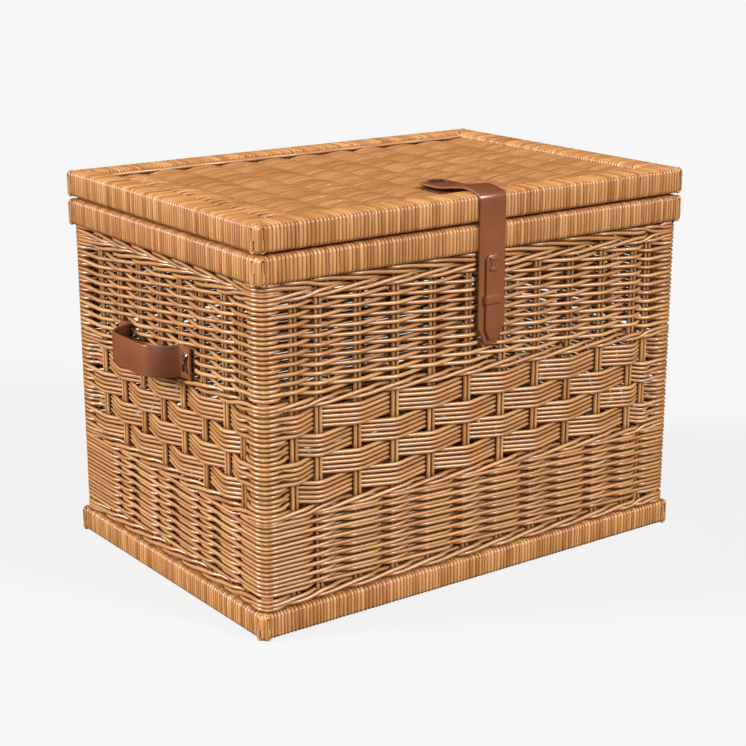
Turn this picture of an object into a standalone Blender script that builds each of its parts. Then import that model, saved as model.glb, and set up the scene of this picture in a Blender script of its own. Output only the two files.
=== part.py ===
"""Wicker storage trunk.

Three wrapped frames (base, rim and lid) carry four woven walls on round corner posts, a woven
floor and a woven lid panel. The lid turns on two butt hinges at the back. A leather strap laced
to the lid hangs over the front, with a narrow tongue held in a keeper. A bowed leather handle is
laced to each end wall.

Metres, +Z up, front towards -Y. The origin is on the floor under the middle of the trunk.
"""
import math

import bmesh
import bpy
from mathutils import Matrix, Vector

# ---- Overall ----------------------------------------------------------------------------------
TRUNK_WIDTH = 0.602          # over the rim and lid frames, along X
TRUNK_DEPTH = 0.416          # over all three frames, along Y
BASE_SPREAD = 0.001          # how far the base frame stands out past the rim at each end

# ---- Frames, from the floor up ------------------------------------------------------------------
BASE_HEIGHT = 0.029
WALL_HEIGHT = 0.358          # woven wall between base and rim frames
RIM_HEIGHT = 0.0305
LID_GAP = 0.0035             # shadow gap between the rim and the closed lid
LID_HEIGHT = 0.0298
FRAME_BAR = 0.030            # base and rim frames, outer face to inner face
LID_BAR = 0.033              # lid frame, outer face to inner face
BINDING_THICKNESS = 0.0025   # split willow wound round the core battens
BINDING_ROUND = 0.004        # roll of the binding over a frame's long edges

# ---- Weaving ------------------------------------------------------------------------------------
ROD_DIAMETER = 0.0046
MAT_THICKNESS = 0.013        # a wall or panel: rods in front of and behind its stakes
WALL_INSET = 0.0015          # frame face to the outer face of a wall
POST_DIAMETER = 0.013
FRONT_CORNER_COLUMN = 0.029  # weaving that wraps a corner post, seen from the front or back
SIDE_CORNER_COLUMN = 0.036   # the same, seen from an end
PANEL_RECESS = 0.003         # lid panel below the top of its frame
FLOOR_CLEARANCE = 0.008      # woven floor above the ground

# ---- Leather ------------------------------------------------------------------------------------
LEATHER = 0.003
STRAP_WIDTH = 0.0375
STRAP_X = 0.0043             # middle of the closing strap
STRAP_REACH = 0.106          # laced end on the lid panel, back from the front face
STRAP_FLAT = 0.022           # stretch of the strap that lies flat on the lid panel
STRAP_BOW = 0.0035           # lift of the strap over the lid frame
STRAP_LIFT = (               # back from the lid frame's inner edge, share of the full lift there
    (0.034, 0.12), (0.012, 0.66), (-0.006, 1.0), (-0.017, 0.86))
STRAP_BEND_START = math.radians(88)   # where the strap meets the bend over the frame's front edge
FLAP_LENGTH = 0.163          # hanging part of the strap, from its hinge line to its tip
STRAP_TIP_WIDTH = 0.0185
STRAP_TAPER = 0.020          # length of the cut corners at the tip
TONGUE_WIDTH = 0.0190
TONGUE_X = 0.0033
TONGUE_DROP = 0.060          # strap's hinge line to the top of the tongue
TONGUE_LENGTH = 0.098
TONGUE_TIP_WIDTH = 0.0076
TONGUE_TAPER = 0.013
KEEPER_HEIGHT = 0.0095
KEEPER_DROP = 0.111          # strap's hinge line to the middle of the keeper
KEEPER_THICKNESS = 0.002
THONG_WIDTH = 0.0105
THONG_HEIGHT = 0.016
THONG_DROP = 0.0705          # strap's hinge line to the middle of the thong
LACE_LENGTH = 0.026          # each arm of a crossed lace
LACE_WIDTH = 0.0042
LACE_THICKNESS = 0.0015
LACE_ANGLE = math.radians(24)
LACE_INSET = 0.0085          # leather end to the middle of its lace
HANDLE_HEIGHT = 0.036
HANDLE_DROP = 0.1105         # rim frame to the middle of the handle strap
HANDLE_Y = 0.0085            # middle of the handle along an end wall
HANDLE_FOOT = 0.0605         # middle of the handle to where it leaves the wall
HANDLE_TAB = 0.0175          # flat laced end beyond each foot
HANDLE_BOW = 0.034           # how far the handle stands out
HANDLE_SHOULDER = 0.0116     # how far in from a foot the bow fills out
HANDLE_ROUND = 1.43          # how squarely the bow fills out
HANDLE_REACH = 0.010         # stand-off at which the tilting grip begins
HANDLE_STEPS = 60

# ---- Hinges -------------------------------------------------------------------------------------
HINGE_X = 0.170              # middle of each hinge from the middle of the trunk
HINGE_WIDTH = 0.042
HINGE_STANDOFF = 0.0009      # frame's back face to the knuckles, less than the leaf's outer face
LEAF_THICKNESS = 0.0015
LEAF_MARGIN = 0.004          # leaf end to the far edge of its frame
KNUCKLE_RADIUS = 0.004
PIN_RADIUS = 0.0018
PIN_CLEARANCE = 0.0002
PIN_HEAD_RADIUS = 0.0034
PIN_HEAD_LENGTH = 0.0012
SCREW_SPACING = 0.026
SCREW_SHANK_RADIUS = 0.0015
SCREW_SHANK_LENGTH = 0.012
SCREW_HEAD_RADIUS = 0.0031
SCREW_HEAD_LENGTH = 0.0012
SCREW_EDGE = 0.0075          # screw middle to the leaf's far end
SCREW_DOME = ((0.55, 0.9), (1.0, 0.35))   # head's outline, as shares of its radius and length

GAP = 0.0003                 # clearance between pieces that touch
SIDES_ROUND = 32
SIDES_SMALL = 20

# ---- Heights worked out from the driving dimensions -----------------------------------------------
RIM_BOTTOM = BASE_HEIGHT + WALL_HEIGHT
RIM_TOP = RIM_BOTTOM + RIM_HEIGHT
LID_BOTTOM = RIM_TOP + LID_GAP
LID_TOP = LID_BOTTOM + LID_HEIGHT
WALL_BOTTOM = BASE_HEIGHT + GAP
WALL_TOP = RIM_BOTTOM - GAP
WALL_MIDDLE = (WALL_BOTTOM + WALL_TOP) / 2
HALF_WIDTH = TRUNK_WIDTH / 2
HALF_DEPTH = TRUNK_DEPTH / 2
WRAP_RADIUS = POST_DIAMETER / 2 + GAP + ROD_DIAMETER
FLAP_Y = -(HALF_DEPTH + GAP + LEATHER / 2)
TONGUE_Y = FLAP_Y - LEATHER - GAP
KEEPER_FRONT = -TONGUE_Y + LEATHER / 2 + GAP + KEEPER_THICKNESS
HINGE_Y = HALF_DEPTH + HINGE_STANDOFF + KNUCKLE_RADIUS
HINGE_Z = RIM_TOP + LID_GAP / 2
STRAP_EDGE_Z = LID_TOP - BINDING_ROUND
STRAP_PIVOT_Z = STRAP_EDGE_Z - LEATHER / 2 - GAP
STRAP_BACK_Y = STRAP_REACH - HALF_DEPTH
HANDLE_Z = RIM_BOTTOM - HANDLE_DROP
HANDLE_WALL_X = HALF_WIDTH - WALL_INSET + GAP + LEATHER / 2
HANDLE_AXIS_X = HANDLE_WALL_X + HANDLE_REACH

TRUNK_COLLECTION = "wicker_storage_trunk"
CUTTER_COLLECTION = "cutters"

MATERIALS = {
    "batten_wood": ((0.62, 0.44, 0.26), 0.65, 0.0),
    "willow_skein": ((0.60, 0.33, 0.13), 0.42, 0.0),
    "willow_rod": ((0.66, 0.38, 0.16), 0.38, 0.0),
    "willow_post": ((0.55, 0.31, 0.13), 0.50, 0.0),
    "saddle_leather": ((0.30, 0.105, 0.05), 0.42, 0.0),
    "lace_leather": ((0.13, 0.045, 0.025), 0.48, 0.0),
    "hinge_brass": ((0.52, 0.38, 0.18), 0.35, 1.0),
    "screw_brass": ((0.58, 0.43, 0.22), 0.30, 1.0),
}


# ---- Scene, materials and object helpers --------------------------------------------------------
def clear_scene():
    for obj in list(bpy.data.objects):
        bpy.data.objects.remove(obj, do_unlink=True)


def make_collection(name):
    collection = bpy.data.collections.new(name)
    bpy.context.scene.collection.children.link(collection)
    return collection


def make_material(name):
    color, roughness, metallic = MATERIALS[name]
    material = bpy.data.materials.new(name)
    material.use_nodes = True
    shader = material.node_tree.nodes["Principled BSDF"]
    shader.inputs["Base Color"].default_value = (*color, 1.0)
    shader.inputs["Roughness"].default_value = roughness
    shader.inputs["Metallic"].default_value = metallic
    return material


def add_object(name, mesh, material, location, turn=0.0, pivot=None):
    """Put a mesh in the trunk's collection; a moving piece hangs from its joint's empty."""
    obj = bpy.data.objects.new(name, mesh)
    bpy.data.collections[TRUNK_COLLECTION].objects.link(obj)
    obj.location = Vector(location)
    obj.rotation_euler.z = turn
    if pivot is not None:
        obj.parent = pivot
        obj.location -= pivot.location
    mesh.materials.append(bpy.data.materials[material])
    return obj


def add_tool(name, mesh, location, turn=0.0):
    """A hidden shape that cuts a hole in a piece or joins on to it."""
    tool = bpy.data.objects.new(name, mesh)
    bpy.data.collections[CUTTER_COLLECTION].objects.link(tool)
    tool.location = Vector(location)
    tool.rotation_euler.z = turn
    tool.hide_render = True
    tool.display_type = "WIRE"
    return tool


def combine(obj, tool, operation):
    modifier = obj.modifiers.new(operation.lower(), "BOOLEAN")
    modifier.operation = operation
    modifier.solver = "EXACT"
    modifier.object = tool


def add_pivot(name, location):
    pivot = bpy.data.objects.new(name, None)
    bpy.data.collections[TRUNK_COLLECTION].objects.link(pivot)
    pivot.location = Vector(location)
    pivot.empty_display_size = 0.02
    return pivot


# ---- Mesh helpers ---------------------------------------------------------------------------------
def mesh_from(bm, name):
    bmesh.ops.recalc_face_normals(bm, faces=bm.faces)
    mesh = bpy.data.meshes.new(name)
    bm.to_mesh(mesh)
    bm.free()
    return mesh


def box_mesh(name, size):
    bm = bmesh.new()
    bmesh.ops.create_cube(bm, size=1.0)
    bmesh.ops.scale(bm, vec=Vector(size), verts=bm.verts)
    return mesh_from(bm, name)


def rounded_box_mesh(name, size, radius, segments=2):
    bm = bmesh.new()
    bmesh.ops.create_cube(bm, size=1.0)
    bmesh.ops.scale(bm, vec=Vector(size), verts=bm.verts)
    bmesh.ops.bevel(bm, geom=bm.edges[:], offset=radius, segments=segments, affect="EDGES", profile=0.5)
    return mesh_from(bm, name)


def rod_mesh(name, radius, length, axis, sides):
    """A plain round rod, centred on its own origin, along X, Y or Z."""
    bm = bmesh.new()
    bmesh.ops.create_cone(
        bm, cap_ends=True, segments=sides, radius1=radius, radius2=radius, depth=length)
    if axis == "X":
        bmesh.ops.rotate(bm, matrix=Matrix.Rotation(math.pi / 2, 3, "Y"), verts=bm.verts)
    elif axis == "Y":
        bmesh.ops.rotate(bm, matrix=Matrix.Rotation(math.pi / 2, 3, "X"), verts=bm.verts)
    mesh = mesh_from(bm, name)
    mesh.shade_smooth()
    mesh.set_sharp_from_angle(angle=math.radians(40))
    return mesh


def add_turned(name, profile, material, location, axis, pivot=None):
    """A turned piece. Its profile is (radius, height) from top to bottom; axis is X or Y."""
    bm = bmesh.new()
    points = [bm.verts.new((radius, 0, height)) for radius, height in profile]
    for upper, lower in zip(points, points[1:]):
        bm.edges.new((upper, lower))
    mesh = bpy.data.meshes.new(name)
    bm.to_mesh(mesh)
    bm.free()
    obj = add_object(name, mesh, material, location, pivot=pivot)
    if axis == "X":
        obj.rotation_euler.y = math.pi / 2
    else:
        obj.rotation_euler.x = -math.pi / 2
    turning = obj.modifiers.new("turning", "SCREW")
    turning.axis = "Z"
    turning.steps = SIDES_SMALL
    turning.render_steps = SIDES_SMALL
    turning.use_merge_vertices = True
    turning.merge_threshold = 0.00001
    turning.use_smooth_shade = False
    return obj


def cut_to_plane(bm, point, normal):
    """Cut away what lies beyond a plane and close the cut."""
    geometry = bm.verts[:] + bm.edges[:] + bm.faces[:]
    cut = bmesh.ops.bisect_plane(
        bm, geom=geometry, dist=1e-6, plane_co=point, plane_no=normal, clear_outer=True)
    rim = [item for item in cut["geom_cut"] if isinstance(item, bmesh.types.BMEdge)]
    bmesh.ops.holes_fill(bm, edges=rim)


def smooth_path(points, steps):
    """A smooth run through a few points (Catmull-Rom)."""
    ends = [2 * points[0] - points[1]] + points + [2 * points[-1] - points[-2]]
    path = []
    for before, start, end, after in zip(ends, ends[1:], ends[2:], ends[3:]):
        for step in range(steps):
            t = step / steps
            path.append(0.5 * (2 * start + (end - before) * t
                               + (2 * before - 5 * start + 4 * end - after) * t * t
                               + (3 * start - before - 3 * end + after) * t ** 3))
    return path + [points[-1]]


def strip_mesh(name, path, across):
    """An open band of faces along a path, as wide as the vector across."""
    bm = bmesh.new()
    rows = [(bm.verts.new(point - across / 2), bm.verts.new(point + across / 2)) for point in path]
    for (low, high), (next_low, next_high) in zip(rows, rows[1:]):
        bm.faces.new((low, next_low, next_high, high))
    mesh = bpy.data.meshes.new(name)
    bm.to_mesh(mesh)
    bm.free()
    return mesh


def thicken(obj, thickness):
    modifier = obj.modifiers.new("thickness", "SOLIDIFY")
    modifier.thickness = thickness
    modifier.offset = 0.0
    modifier.use_even_offset = True


def solid_strip(name, path, across, thickness):
    """The closed mesh of a thickened strip."""
    tool = add_tool(name + "_sheet", strip_mesh(name, path, across), (0, 0, 0))
    thicken(tool, thickness)
    evaluated = tool.evaluated_get(bpy.context.evaluated_depsgraph_get())
    mesh = bpy.data.meshes.new_from_object(evaluated)
    bpy.data.objects.remove(tool, do_unlink=True)
    return mesh


def plate_mesh(name, outline, thickness):
    """A flat plate in the XZ plane from its outline, centred on y = 0."""
    bm = bmesh.new()
    face = bm.faces.new([bm.verts.new((x, -thickness / 2, z)) for x, z in outline])
    raised = bmesh.ops.extrude_face_region(bm, geom=[face])
    moved = [item for item in raised["geom"] if isinstance(item, bmesh.types.BMVert)]
    bmesh.ops.translate(bm, vec=(0, thickness, 0), verts=moved)
    return mesh_from(bm, name)


# ---- Frames: core battens and the binding wound round them ------------------------------------------
def frame_sides(width, depth, bar):
    """Name, length, middle and turn of each side of a rectangular frame."""
    reach_x = width / 2 - bar / 2
    reach_y = depth / 2 - bar / 2
    return (
        ("front", width, (0, -reach_y), 0.0),
        ("back", width, (0, reach_y), math.pi),
        ("left", depth, (-reach_x, 0), -math.pi / 2),
        ("right", depth, (reach_x, 0), math.pi / 2),
    )


def binding_mesh(name, length, bar, height):
    """One side of the binding as a solid bar with rolled long edges and mitred ends."""
    bm = bmesh.new()
    bmesh.ops.create_cube(bm, size=1.0)
    bmesh.ops.scale(bm, vec=Vector((length + bar, bar, height)), verts=bm.verts)
    long_edges = [e for e in bm.edges if abs((e.verts[0].co - e.verts[1].co).x) > length]
    bmesh.ops.bevel(
        bm, geom=long_edges, offset=BINDING_ROUND, segments=3, affect="EDGES", profile=0.5)
    for side in (-1, 1):
        corner = Vector((side * (length / 2 - GAP), -bar / 2, 0))
        cut_to_plane(bm, corner, Vector((side, 1, 0)).normalized())
    return mesh_from(bm, name)


def build_frame(name, width, depth, bar, height, middle_z, pivot=None):
    """A core ring of battens inside four mitred lengths of binding. Returns all five by name."""
    shell = BINDING_THICKNESS
    pieces = {}
    core_size = (width - 2 * (shell + GAP), depth - 2 * (shell + GAP), height - 2 * (shell + GAP))
    core = add_object(name + "_frame", box_mesh(name + "_frame", core_size),
                      "batten_wood", (0, 0, middle_z), pivot=pivot)
    hollow = 2 * (bar - shell - GAP)
    tool = add_tool(name + "_frame_opening",
                    box_mesh(name + "_frame_opening", (width - hollow, depth - hollow, 2 * height)),
                    (0, 0, middle_z))
    combine(core, tool, "DIFFERENCE")
    pieces["core"] = core
    for side, length, (x, y), turn in frame_sides(width, depth, bar):
        label = f"{name}_binding_{side}"
        piece = add_object(label, binding_mesh(label, length, bar, height),
                           "willow_skein", (x, y, middle_z), turn, pivot)
        tunnel = box_mesh(label + "_tunnel", (length + bar, bar - 2 * shell, height - 2 * shell))
        combine(piece, add_tool(label + "_tunnel", tunnel, (x, y, middle_z), turn), "DIFFERENCE")
        pieces[side] = piece
    return pieces


# ---- Woven mats -----------------------------------------------------------------------------------
def build_walls():
    face_x = HALF_WIDTH - WALL_INSET
    face_y = HALF_DEPTH - WALL_INSET
    height = WALL_TOP - WALL_BOTTOM
    long_wall = 2 * (face_x - FRONT_CORNER_COLUMN - GAP)
    short_wall = 2 * (face_y - SIDE_CORNER_COLUMN - GAP)
    middle_x = face_x - MAT_THICKNESS / 2
    middle_y = face_y - MAT_THICKNESS / 2
    for name, size, place in (
            ("front_wall", (long_wall, MAT_THICKNESS, height), (0, -middle_y)),
            ("back_wall", (long_wall, MAT_THICKNESS, height), (0, middle_y)),
            ("left_wall", (MAT_THICKNESS, short_wall, height), (-middle_x, 0)),
            ("right_wall", (MAT_THICKNESS, short_wall, height), (middle_x, 0))):
        add_object(name, box_mesh(name, size), "willow_rod", (*place, WALL_MIDDLE))


def corner_sheet_path():
    """Plan of the weaving that wraps the front left post, along the middle of its rods."""
    inset = ROD_DIAMETER / 2
    face_x = -(HALF_WIDTH - WALL_INSET)
    face_y = -(HALF_DEPTH - WALL_INSET)
    radius = WRAP_RADIUS - inset
    centre = Vector((face_x + WRAP_RADIUS, face_y + WRAP_RADIUS, 0))
    path = [Vector((face_x + FRONT_CORNER_COLUMN, face_y + inset, 0))]
    for step in range(9):
        angle = math.radians(270 - 90 * step / 8)
        path.append(centre + radius * Vector((math.cos(angle), math.sin(angle), 0)))
    path.append(Vector((face_x + inset, face_y + SIDE_CORNER_COLUMN, 0)))
    return path, centre


def build_corners():
    """Round posts in the four corners and the weaving wrapped round each."""
    path, centre = corner_sheet_path()
    height = WALL_TOP - WALL_BOTTOM
    for name, side_x, side_y in (("front_left", 1, 1), ("front_right", -1, 1),
                                 ("back_left", 1, -1), ("back_right", -1, -1)):
        place = Vector((centre.x * side_x, centre.y * side_y, WALL_MIDDLE))
        post = rod_mesh(name + "_post", POST_DIAMETER / 2, height, "Z", SIDES_ROUND)
        add_object(name + "_post", post, "willow_post", place)
        corner = [Vector((side_x * (p.x - centre.x), side_y * (p.y - centre.y), 0)) for p in path]
        if side_x * side_y < 0:
            corner.reverse()
        label = name + "_corner_weave"
        sleeve = add_object(label, strip_mesh(label, corner, Vector((0, 0, height))),
                            "willow_rod", place)
        thicken(sleeve, ROD_DIAMETER)


def build_floor():
    opening_x = TRUNK_WIDTH + 2 * BASE_SPREAD - 2 * FRAME_BAR - 2 * GAP
    opening_y = TRUNK_DEPTH - 2 * FRAME_BAR - 2 * GAP
    add_object("floor_panel", box_mesh("floor_panel", (opening_x, opening_y, MAT_THICKNESS)),
               "willow_rod", (0, 0, FLOOR_CLEARANCE + MAT_THICKNESS / 2))


def build_lid_panel(pivot):
    opening_x = TRUNK_WIDTH - 2 * LID_BAR - 2 * GAP
    opening_y = TRUNK_DEPTH - 2 * LID_BAR - 2 * GAP
    middle = LID_TOP - PANEL_RECESS - MAT_THICKNESS / 2
    add_object("lid_panel", box_mesh("lid_panel", (opening_x, opening_y, MAT_THICKNESS)),
               "willow_rod", (0, 0, middle), pivot=pivot)


# ---- Hinges ---------------------------------------------------------------------------------------
def hinge_leaf(name, x, up, spans, pivot):
    """A leaf plate with knuckles over the given spans of the hinge's width.

    up is 1 for the lid's leaf, which rises from the pin, and -1 for the rim's, which drops.
    """
    far = (LID_HEIGHT if up > 0 else RIM_HEIGHT) - LEAF_MARGIN + LID_GAP / 2
    near = KNUCKLE_RADIUS + GAP
    edge = HINGE_WIDTH / 2
    outline = [(edge, up * far), (-edge, up * far), (-edge, up * near)]
    for start, end in spans:
        neck = (start + GAP, end - GAP)
        outline += [(neck[0], up * near), (neck[0], 0), (neck[1], 0), (neck[1], up * near)]
    outline.append((edge, up * near))
    plate_y = HALF_DEPTH + GAP + LEAF_THICKNESS / 2
    leaf = add_object(name, plate_mesh(name, outline, LEAF_THICKNESS), "hinge_brass",
                      (x, plate_y, HINGE_Z), pivot=pivot)
    for number, (start, end) in enumerate(spans):
        knuckle = rod_mesh(name + "_knuckle", KNUCKLE_RADIUS, end - start, "X", SIDES_SMALL)
        place = (x + (start + end) / 2, HINGE_Y, HINGE_Z)
        combine(leaf, add_tool(f"{name}_knuckle_{number}", knuckle, place), "UNION")
    bore = rod_mesh(name + "_bore", PIN_RADIUS + PIN_CLEARANCE, 2 * HINGE_WIDTH, "X", SIDES_SMALL)
    combine(leaf, add_tool(name + "_bore", bore, (x, HINGE_Y, HINGE_Z)), "DIFFERENCE")
    return leaf, HINGE_Z + up * (far - SCREW_EDGE)


def hinge_screw(name, x, z, drilled, pivot):
    """A round-headed wood screw through a leaf, and its hole in every piece that it enters."""
    head_y = HALF_DEPTH + 2 * GAP + LEAF_THICKNESS
    dome = [(SCREW_HEAD_RADIUS * across, SCREW_HEAD_LENGTH * up) for across, up in SCREW_DOME]
    point = SCREW_SHANK_RADIUS - SCREW_SHANK_LENGTH
    profile = ((0, SCREW_HEAD_LENGTH), *dome, (SCREW_HEAD_RADIUS, 0), (SCREW_SHANK_RADIUS, 0),
               (SCREW_SHANK_RADIUS, point), (0, -SCREW_SHANK_LENGTH))
    add_turned(name, profile, "screw_brass", (x, head_y, z), "Y", pivot)
    hole = rod_mesh(name + "_hole", SCREW_SHANK_RADIUS + GAP, SCREW_SHANK_LENGTH + 4 * GAP, "Y",
                    SIDES_SMALL)
    drill = add_tool(name + "_hole", hole, (x, head_y - SCREW_SHANK_LENGTH / 2, z))
    for piece in drilled:
        combine(piece, drill, "DIFFERENCE")


def hinge_pin(name, x):
    """The pin that the leaves turn on, with a flat head outside each end knuckle."""
    half = HINGE_WIDTH / 2 + GAP
    end = half + PIN_HEAD_LENGTH
    profile = ((0, end), (PIN_HEAD_RADIUS, end), (PIN_HEAD_RADIUS, half), (PIN_RADIUS, half),
               (PIN_RADIUS, -half), (PIN_HEAD_RADIUS, -half), (PIN_HEAD_RADIUS, -end), (0, -end))
    add_turned(name, profile, "hinge_brass", (x, HINGE_Y, HINGE_Z), "X")


def build_hinges(rim, lid, lid_pivot):
    third = HINGE_WIDTH / 3
    edge = HINGE_WIDTH / 2
    outer_spans = ((-edge, -third / 2 - GAP), (third / 2 + GAP, edge))
    inner_spans = ((-third / 2, third / 2),)
    for side, x in (("left", -HINGE_X), ("right", HINGE_X)):
        name = f"{side}_hinge"
        rim_leaf, rim_z = hinge_leaf(name + "_rim_leaf", x, -1, outer_spans, None)
        lid_leaf, lid_z = hinge_leaf(name + "_lid_leaf", x, 1, inner_spans, lid_pivot)
        hinge_pin(name + "_pin", x)
        for number, offset in ((1, -SCREW_SPACING / 2), (2, SCREW_SPACING / 2)):
            hinge_screw(f"{name}_rim_screw_{number}", x + offset, rim_z,
                        (rim_leaf, rim["back"], rim["core"]), None)
            hinge_screw(f"{name}_lid_screw_{number}", x + offset, lid_z,
                        (lid_leaf, lid["back"], lid["core"]), lid_pivot)


# ---- Leather --------------------------------------------------------------------------------------
def add_lace(name, place, turn_to, pivot=None):
    """Two crossed thongs lying on leather. turn_to lays the cross on the surface it holds."""
    arms = []
    for arm, lean in ((1, LACE_ANGLE), (2, -LACE_ANGLE)):
        mesh = box_mesh(f"{name}_{arm}", (LACE_WIDTH, LACE_THICKNESS, LACE_LENGTH))
        mesh.transform(turn_to @ Matrix.Rotation(lean, 4, "Y"))
        arms.append(mesh)
    lace = add_object(name, arms[0], "lace_leather", place, pivot=pivot)
    combine(lace, add_tool(name + "_cross", arms[1], place), "UNION")


def strap_top_path():
    """The strap from its laced end on the lid panel to the front edge, in the YZ plane."""
    panel_z = LID_TOP - PANEL_RECESS + GAP + LEATHER / 2
    full_lift = PANEL_RECESS + STRAP_BOW
    inner_edge = -(HALF_DEPTH - LID_BAR)
    radius = BINDING_ROUND + GAP + LEATHER / 2
    bend_y = FLAP_Y + radius
    points = [Vector((0, STRAP_BACK_Y, panel_z)), Vector((0, STRAP_BACK_Y - STRAP_FLAT, panel_z))]
    for back, share in STRAP_LIFT:
        points.append(Vector((0, inner_edge + back, panel_z + full_lift * share)))
    for step in range(7):
        angle = STRAP_BEND_START + (math.pi - STRAP_BEND_START) * step / 6
        points.append(Vector((0, bend_y + radius * math.cos(angle),
                              STRAP_EDGE_Z + radius * math.sin(angle))))
    return smooth_path(points, 3)


def tapered_outline(half_width, top, bottom, tip_half, taper, round_top=0.0):
    """A strap's outline: square or round top, corners cut off towards the tip."""
    outline = []
    if round_top:
        for step in range(9):
            angle = math.pi * step / 8
            outline.append((half_width * math.cos(angle), top - round_top + round_top * math.sin(angle)))
    else:
        outline += [(half_width, top), (-half_width, top)]
    outline += [(-half_width, bottom + taper), (-tip_half, bottom),
                (tip_half, bottom), (half_width, bottom + taper)]
    return outline


def build_strap(lid_pivot, strap_pivot):
    across = Vector((STRAP_WIDTH, 0, 0))
    anchor = solid_strip("strap_anchor", strap_top_path(), across, LEATHER)
    add_object("strap_anchor", anchor, "saddle_leather", (STRAP_X, 0, 0), pivot=lid_pivot)
    lace_z = LID_TOP - PANEL_RECESS + GAP + LEATHER + GAP + LACE_THICKNESS / 2
    add_lace("strap_lace", (STRAP_X, STRAP_BACK_Y - LACE_INSET, lace_z),
             Matrix.Rotation(math.pi / 2, 4, "Z") @ Matrix.Rotation(math.pi / 2, 4, "X"), lid_pivot)

    flap = tapered_outline(STRAP_WIDTH / 2, 0, -FLAP_LENGTH, STRAP_TIP_WIDTH / 2, STRAP_TAPER)
    add_object("strap_flap", plate_mesh("strap_flap", flap, LEATHER), "saddle_leather",
               (STRAP_X, FLAP_Y, STRAP_PIVOT_Z), pivot=strap_pivot)
    tongue = tapered_outline(TONGUE_WIDTH / 2, 0, -TONGUE_LENGTH,
                             TONGUE_TIP_WIDTH / 2, TONGUE_TAPER, round_top=TONGUE_WIDTH / 3)
    add_object("strap_tongue", plate_mesh("strap_tongue", tongue, LEATHER), "saddle_leather",
               (TONGUE_X, TONGUE_Y, STRAP_PIVOT_Z - TONGUE_DROP), pivot=strap_pivot)

    thong_y = TONGUE_Y - LEATHER / 2 - GAP - LACE_THICKNESS / 2
    thong = rounded_box_mesh("strap_thong", (THONG_WIDTH, LACE_THICKNESS, THONG_HEIGHT), 0.0005)
    add_object("strap_thong", thong, "saddle_leather",
               (TONGUE_X, thong_y, STRAP_PIVOT_Z - THONG_DROP), pivot=strap_pivot)
    build_keeper(strap_pivot)


def build_keeper(pivot):
    """A bridge of leather over the tongue, its two feet on the flap."""
    inner = TONGUE_WIDTH / 2 + GAP
    outer = inner + KEEPER_THICKNESS
    back = FLAP_Y - LEATHER / 2 - GAP
    front = -KEEPER_FRONT
    middle_z = STRAP_PIVOT_Z - KEEPER_DROP
    keeper = add_object(
        "strap_keeper", box_mesh("strap_keeper", (2 * outer, back - front, KEEPER_HEIGHT)),
        "saddle_leather", (TONGUE_X, (back + front) / 2, middle_z), pivot=pivot)
    tunnel_depth = back - front - KEEPER_THICKNESS
    tunnel = box_mesh("strap_keeper_tunnel", (2 * inner, 2 * tunnel_depth, 2 * KEEPER_HEIGHT))
    combine(keeper, add_tool("strap_keeper_tunnel", tunnel, (TONGUE_X, back, middle_z)), "DIFFERENCE")


def handle_path(side):
    """Plan of the bowed handle strap along the middle of its leather, from front end to back end."""
    end = HANDLE_FOOT + HANDLE_TAB
    path = []
    for step in range(HANDLE_STEPS + 1):
        along = end * (2 * step / HANDLE_STEPS - 1)
        inside = max(HANDLE_FOOT - abs(along), 0.0)
        share = 1 - math.exp(-(inside / HANDLE_SHOULDER) ** HANDLE_ROUND)
        path.append(Vector((side * (HANDLE_WALL_X + HANDLE_BOW * share), along, 0)))
    return path


def grip_half_length(path):
    """How far from the middle the bowed strap reaches the tilting grip's stand-off."""
    for before, after in zip(path, path[1:]):
        low = abs(before.x) - HANDLE_AXIS_X
        high = abs(after.x) - HANDLE_AXIS_X
        if low <= 0 < high:
            return abs(before.y + (after.y - before.y) * -low / (high - low))
    raise ValueError("the handle never stands off far enough for its grip")


def cut_along_handle(mesh, name, low, high):
    """The stretch of a handle strap between two planes across its length."""
    bm = bmesh.new()
    bm.from_mesh(mesh)
    if low is not None:
        cut_to_plane(bm, Vector((0, low, 0)), Vector((0, -1, 0)))
    if high is not None:
        cut_to_plane(bm, Vector((0, high, 0)), Vector((0, 1, 0)))
    return mesh_from(bm, name)


def build_handle(label, side, pivot):
    """Two laced ends fixed to the wall, and the bowed grip between them, which tilts."""
    path = handle_path(side)
    strap = solid_strip(label, path, Vector((0, 0, HANDLE_HEIGHT)), LEATHER)
    cut = grip_half_length(path)
    place = (0, HANDLE_Y, HANDLE_Z)
    for end, low, high in (("front", None, -cut - GAP / 2), ("back", cut + GAP / 2, None)):
        name = f"{label}_end_{end}"
        add_object(name, cut_along_handle(strap, name, low, high), "saddle_leather", place)
        away = -1 if end == "front" else 1
        lace_y = HANDLE_Y + away * (HANDLE_FOOT + HANDLE_TAB - LACE_INSET)
        lace_x = side * (HANDLE_WALL_X + LEATHER / 2 + GAP + LACE_THICKNESS / 2)
        add_lace(f"{label}_lace_{end}", (lace_x, lace_y, HANDLE_Z),
                 Matrix.Rotation(math.pi / 2, 4, "Z"))
    grip = cut_along_handle(strap, label + "_grip", -cut + GAP / 2, cut - GAP / 2)
    add_object(label + "_grip", grip, "saddle_leather", place, pivot=pivot)
    bpy.data.meshes.remove(strap)


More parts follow.
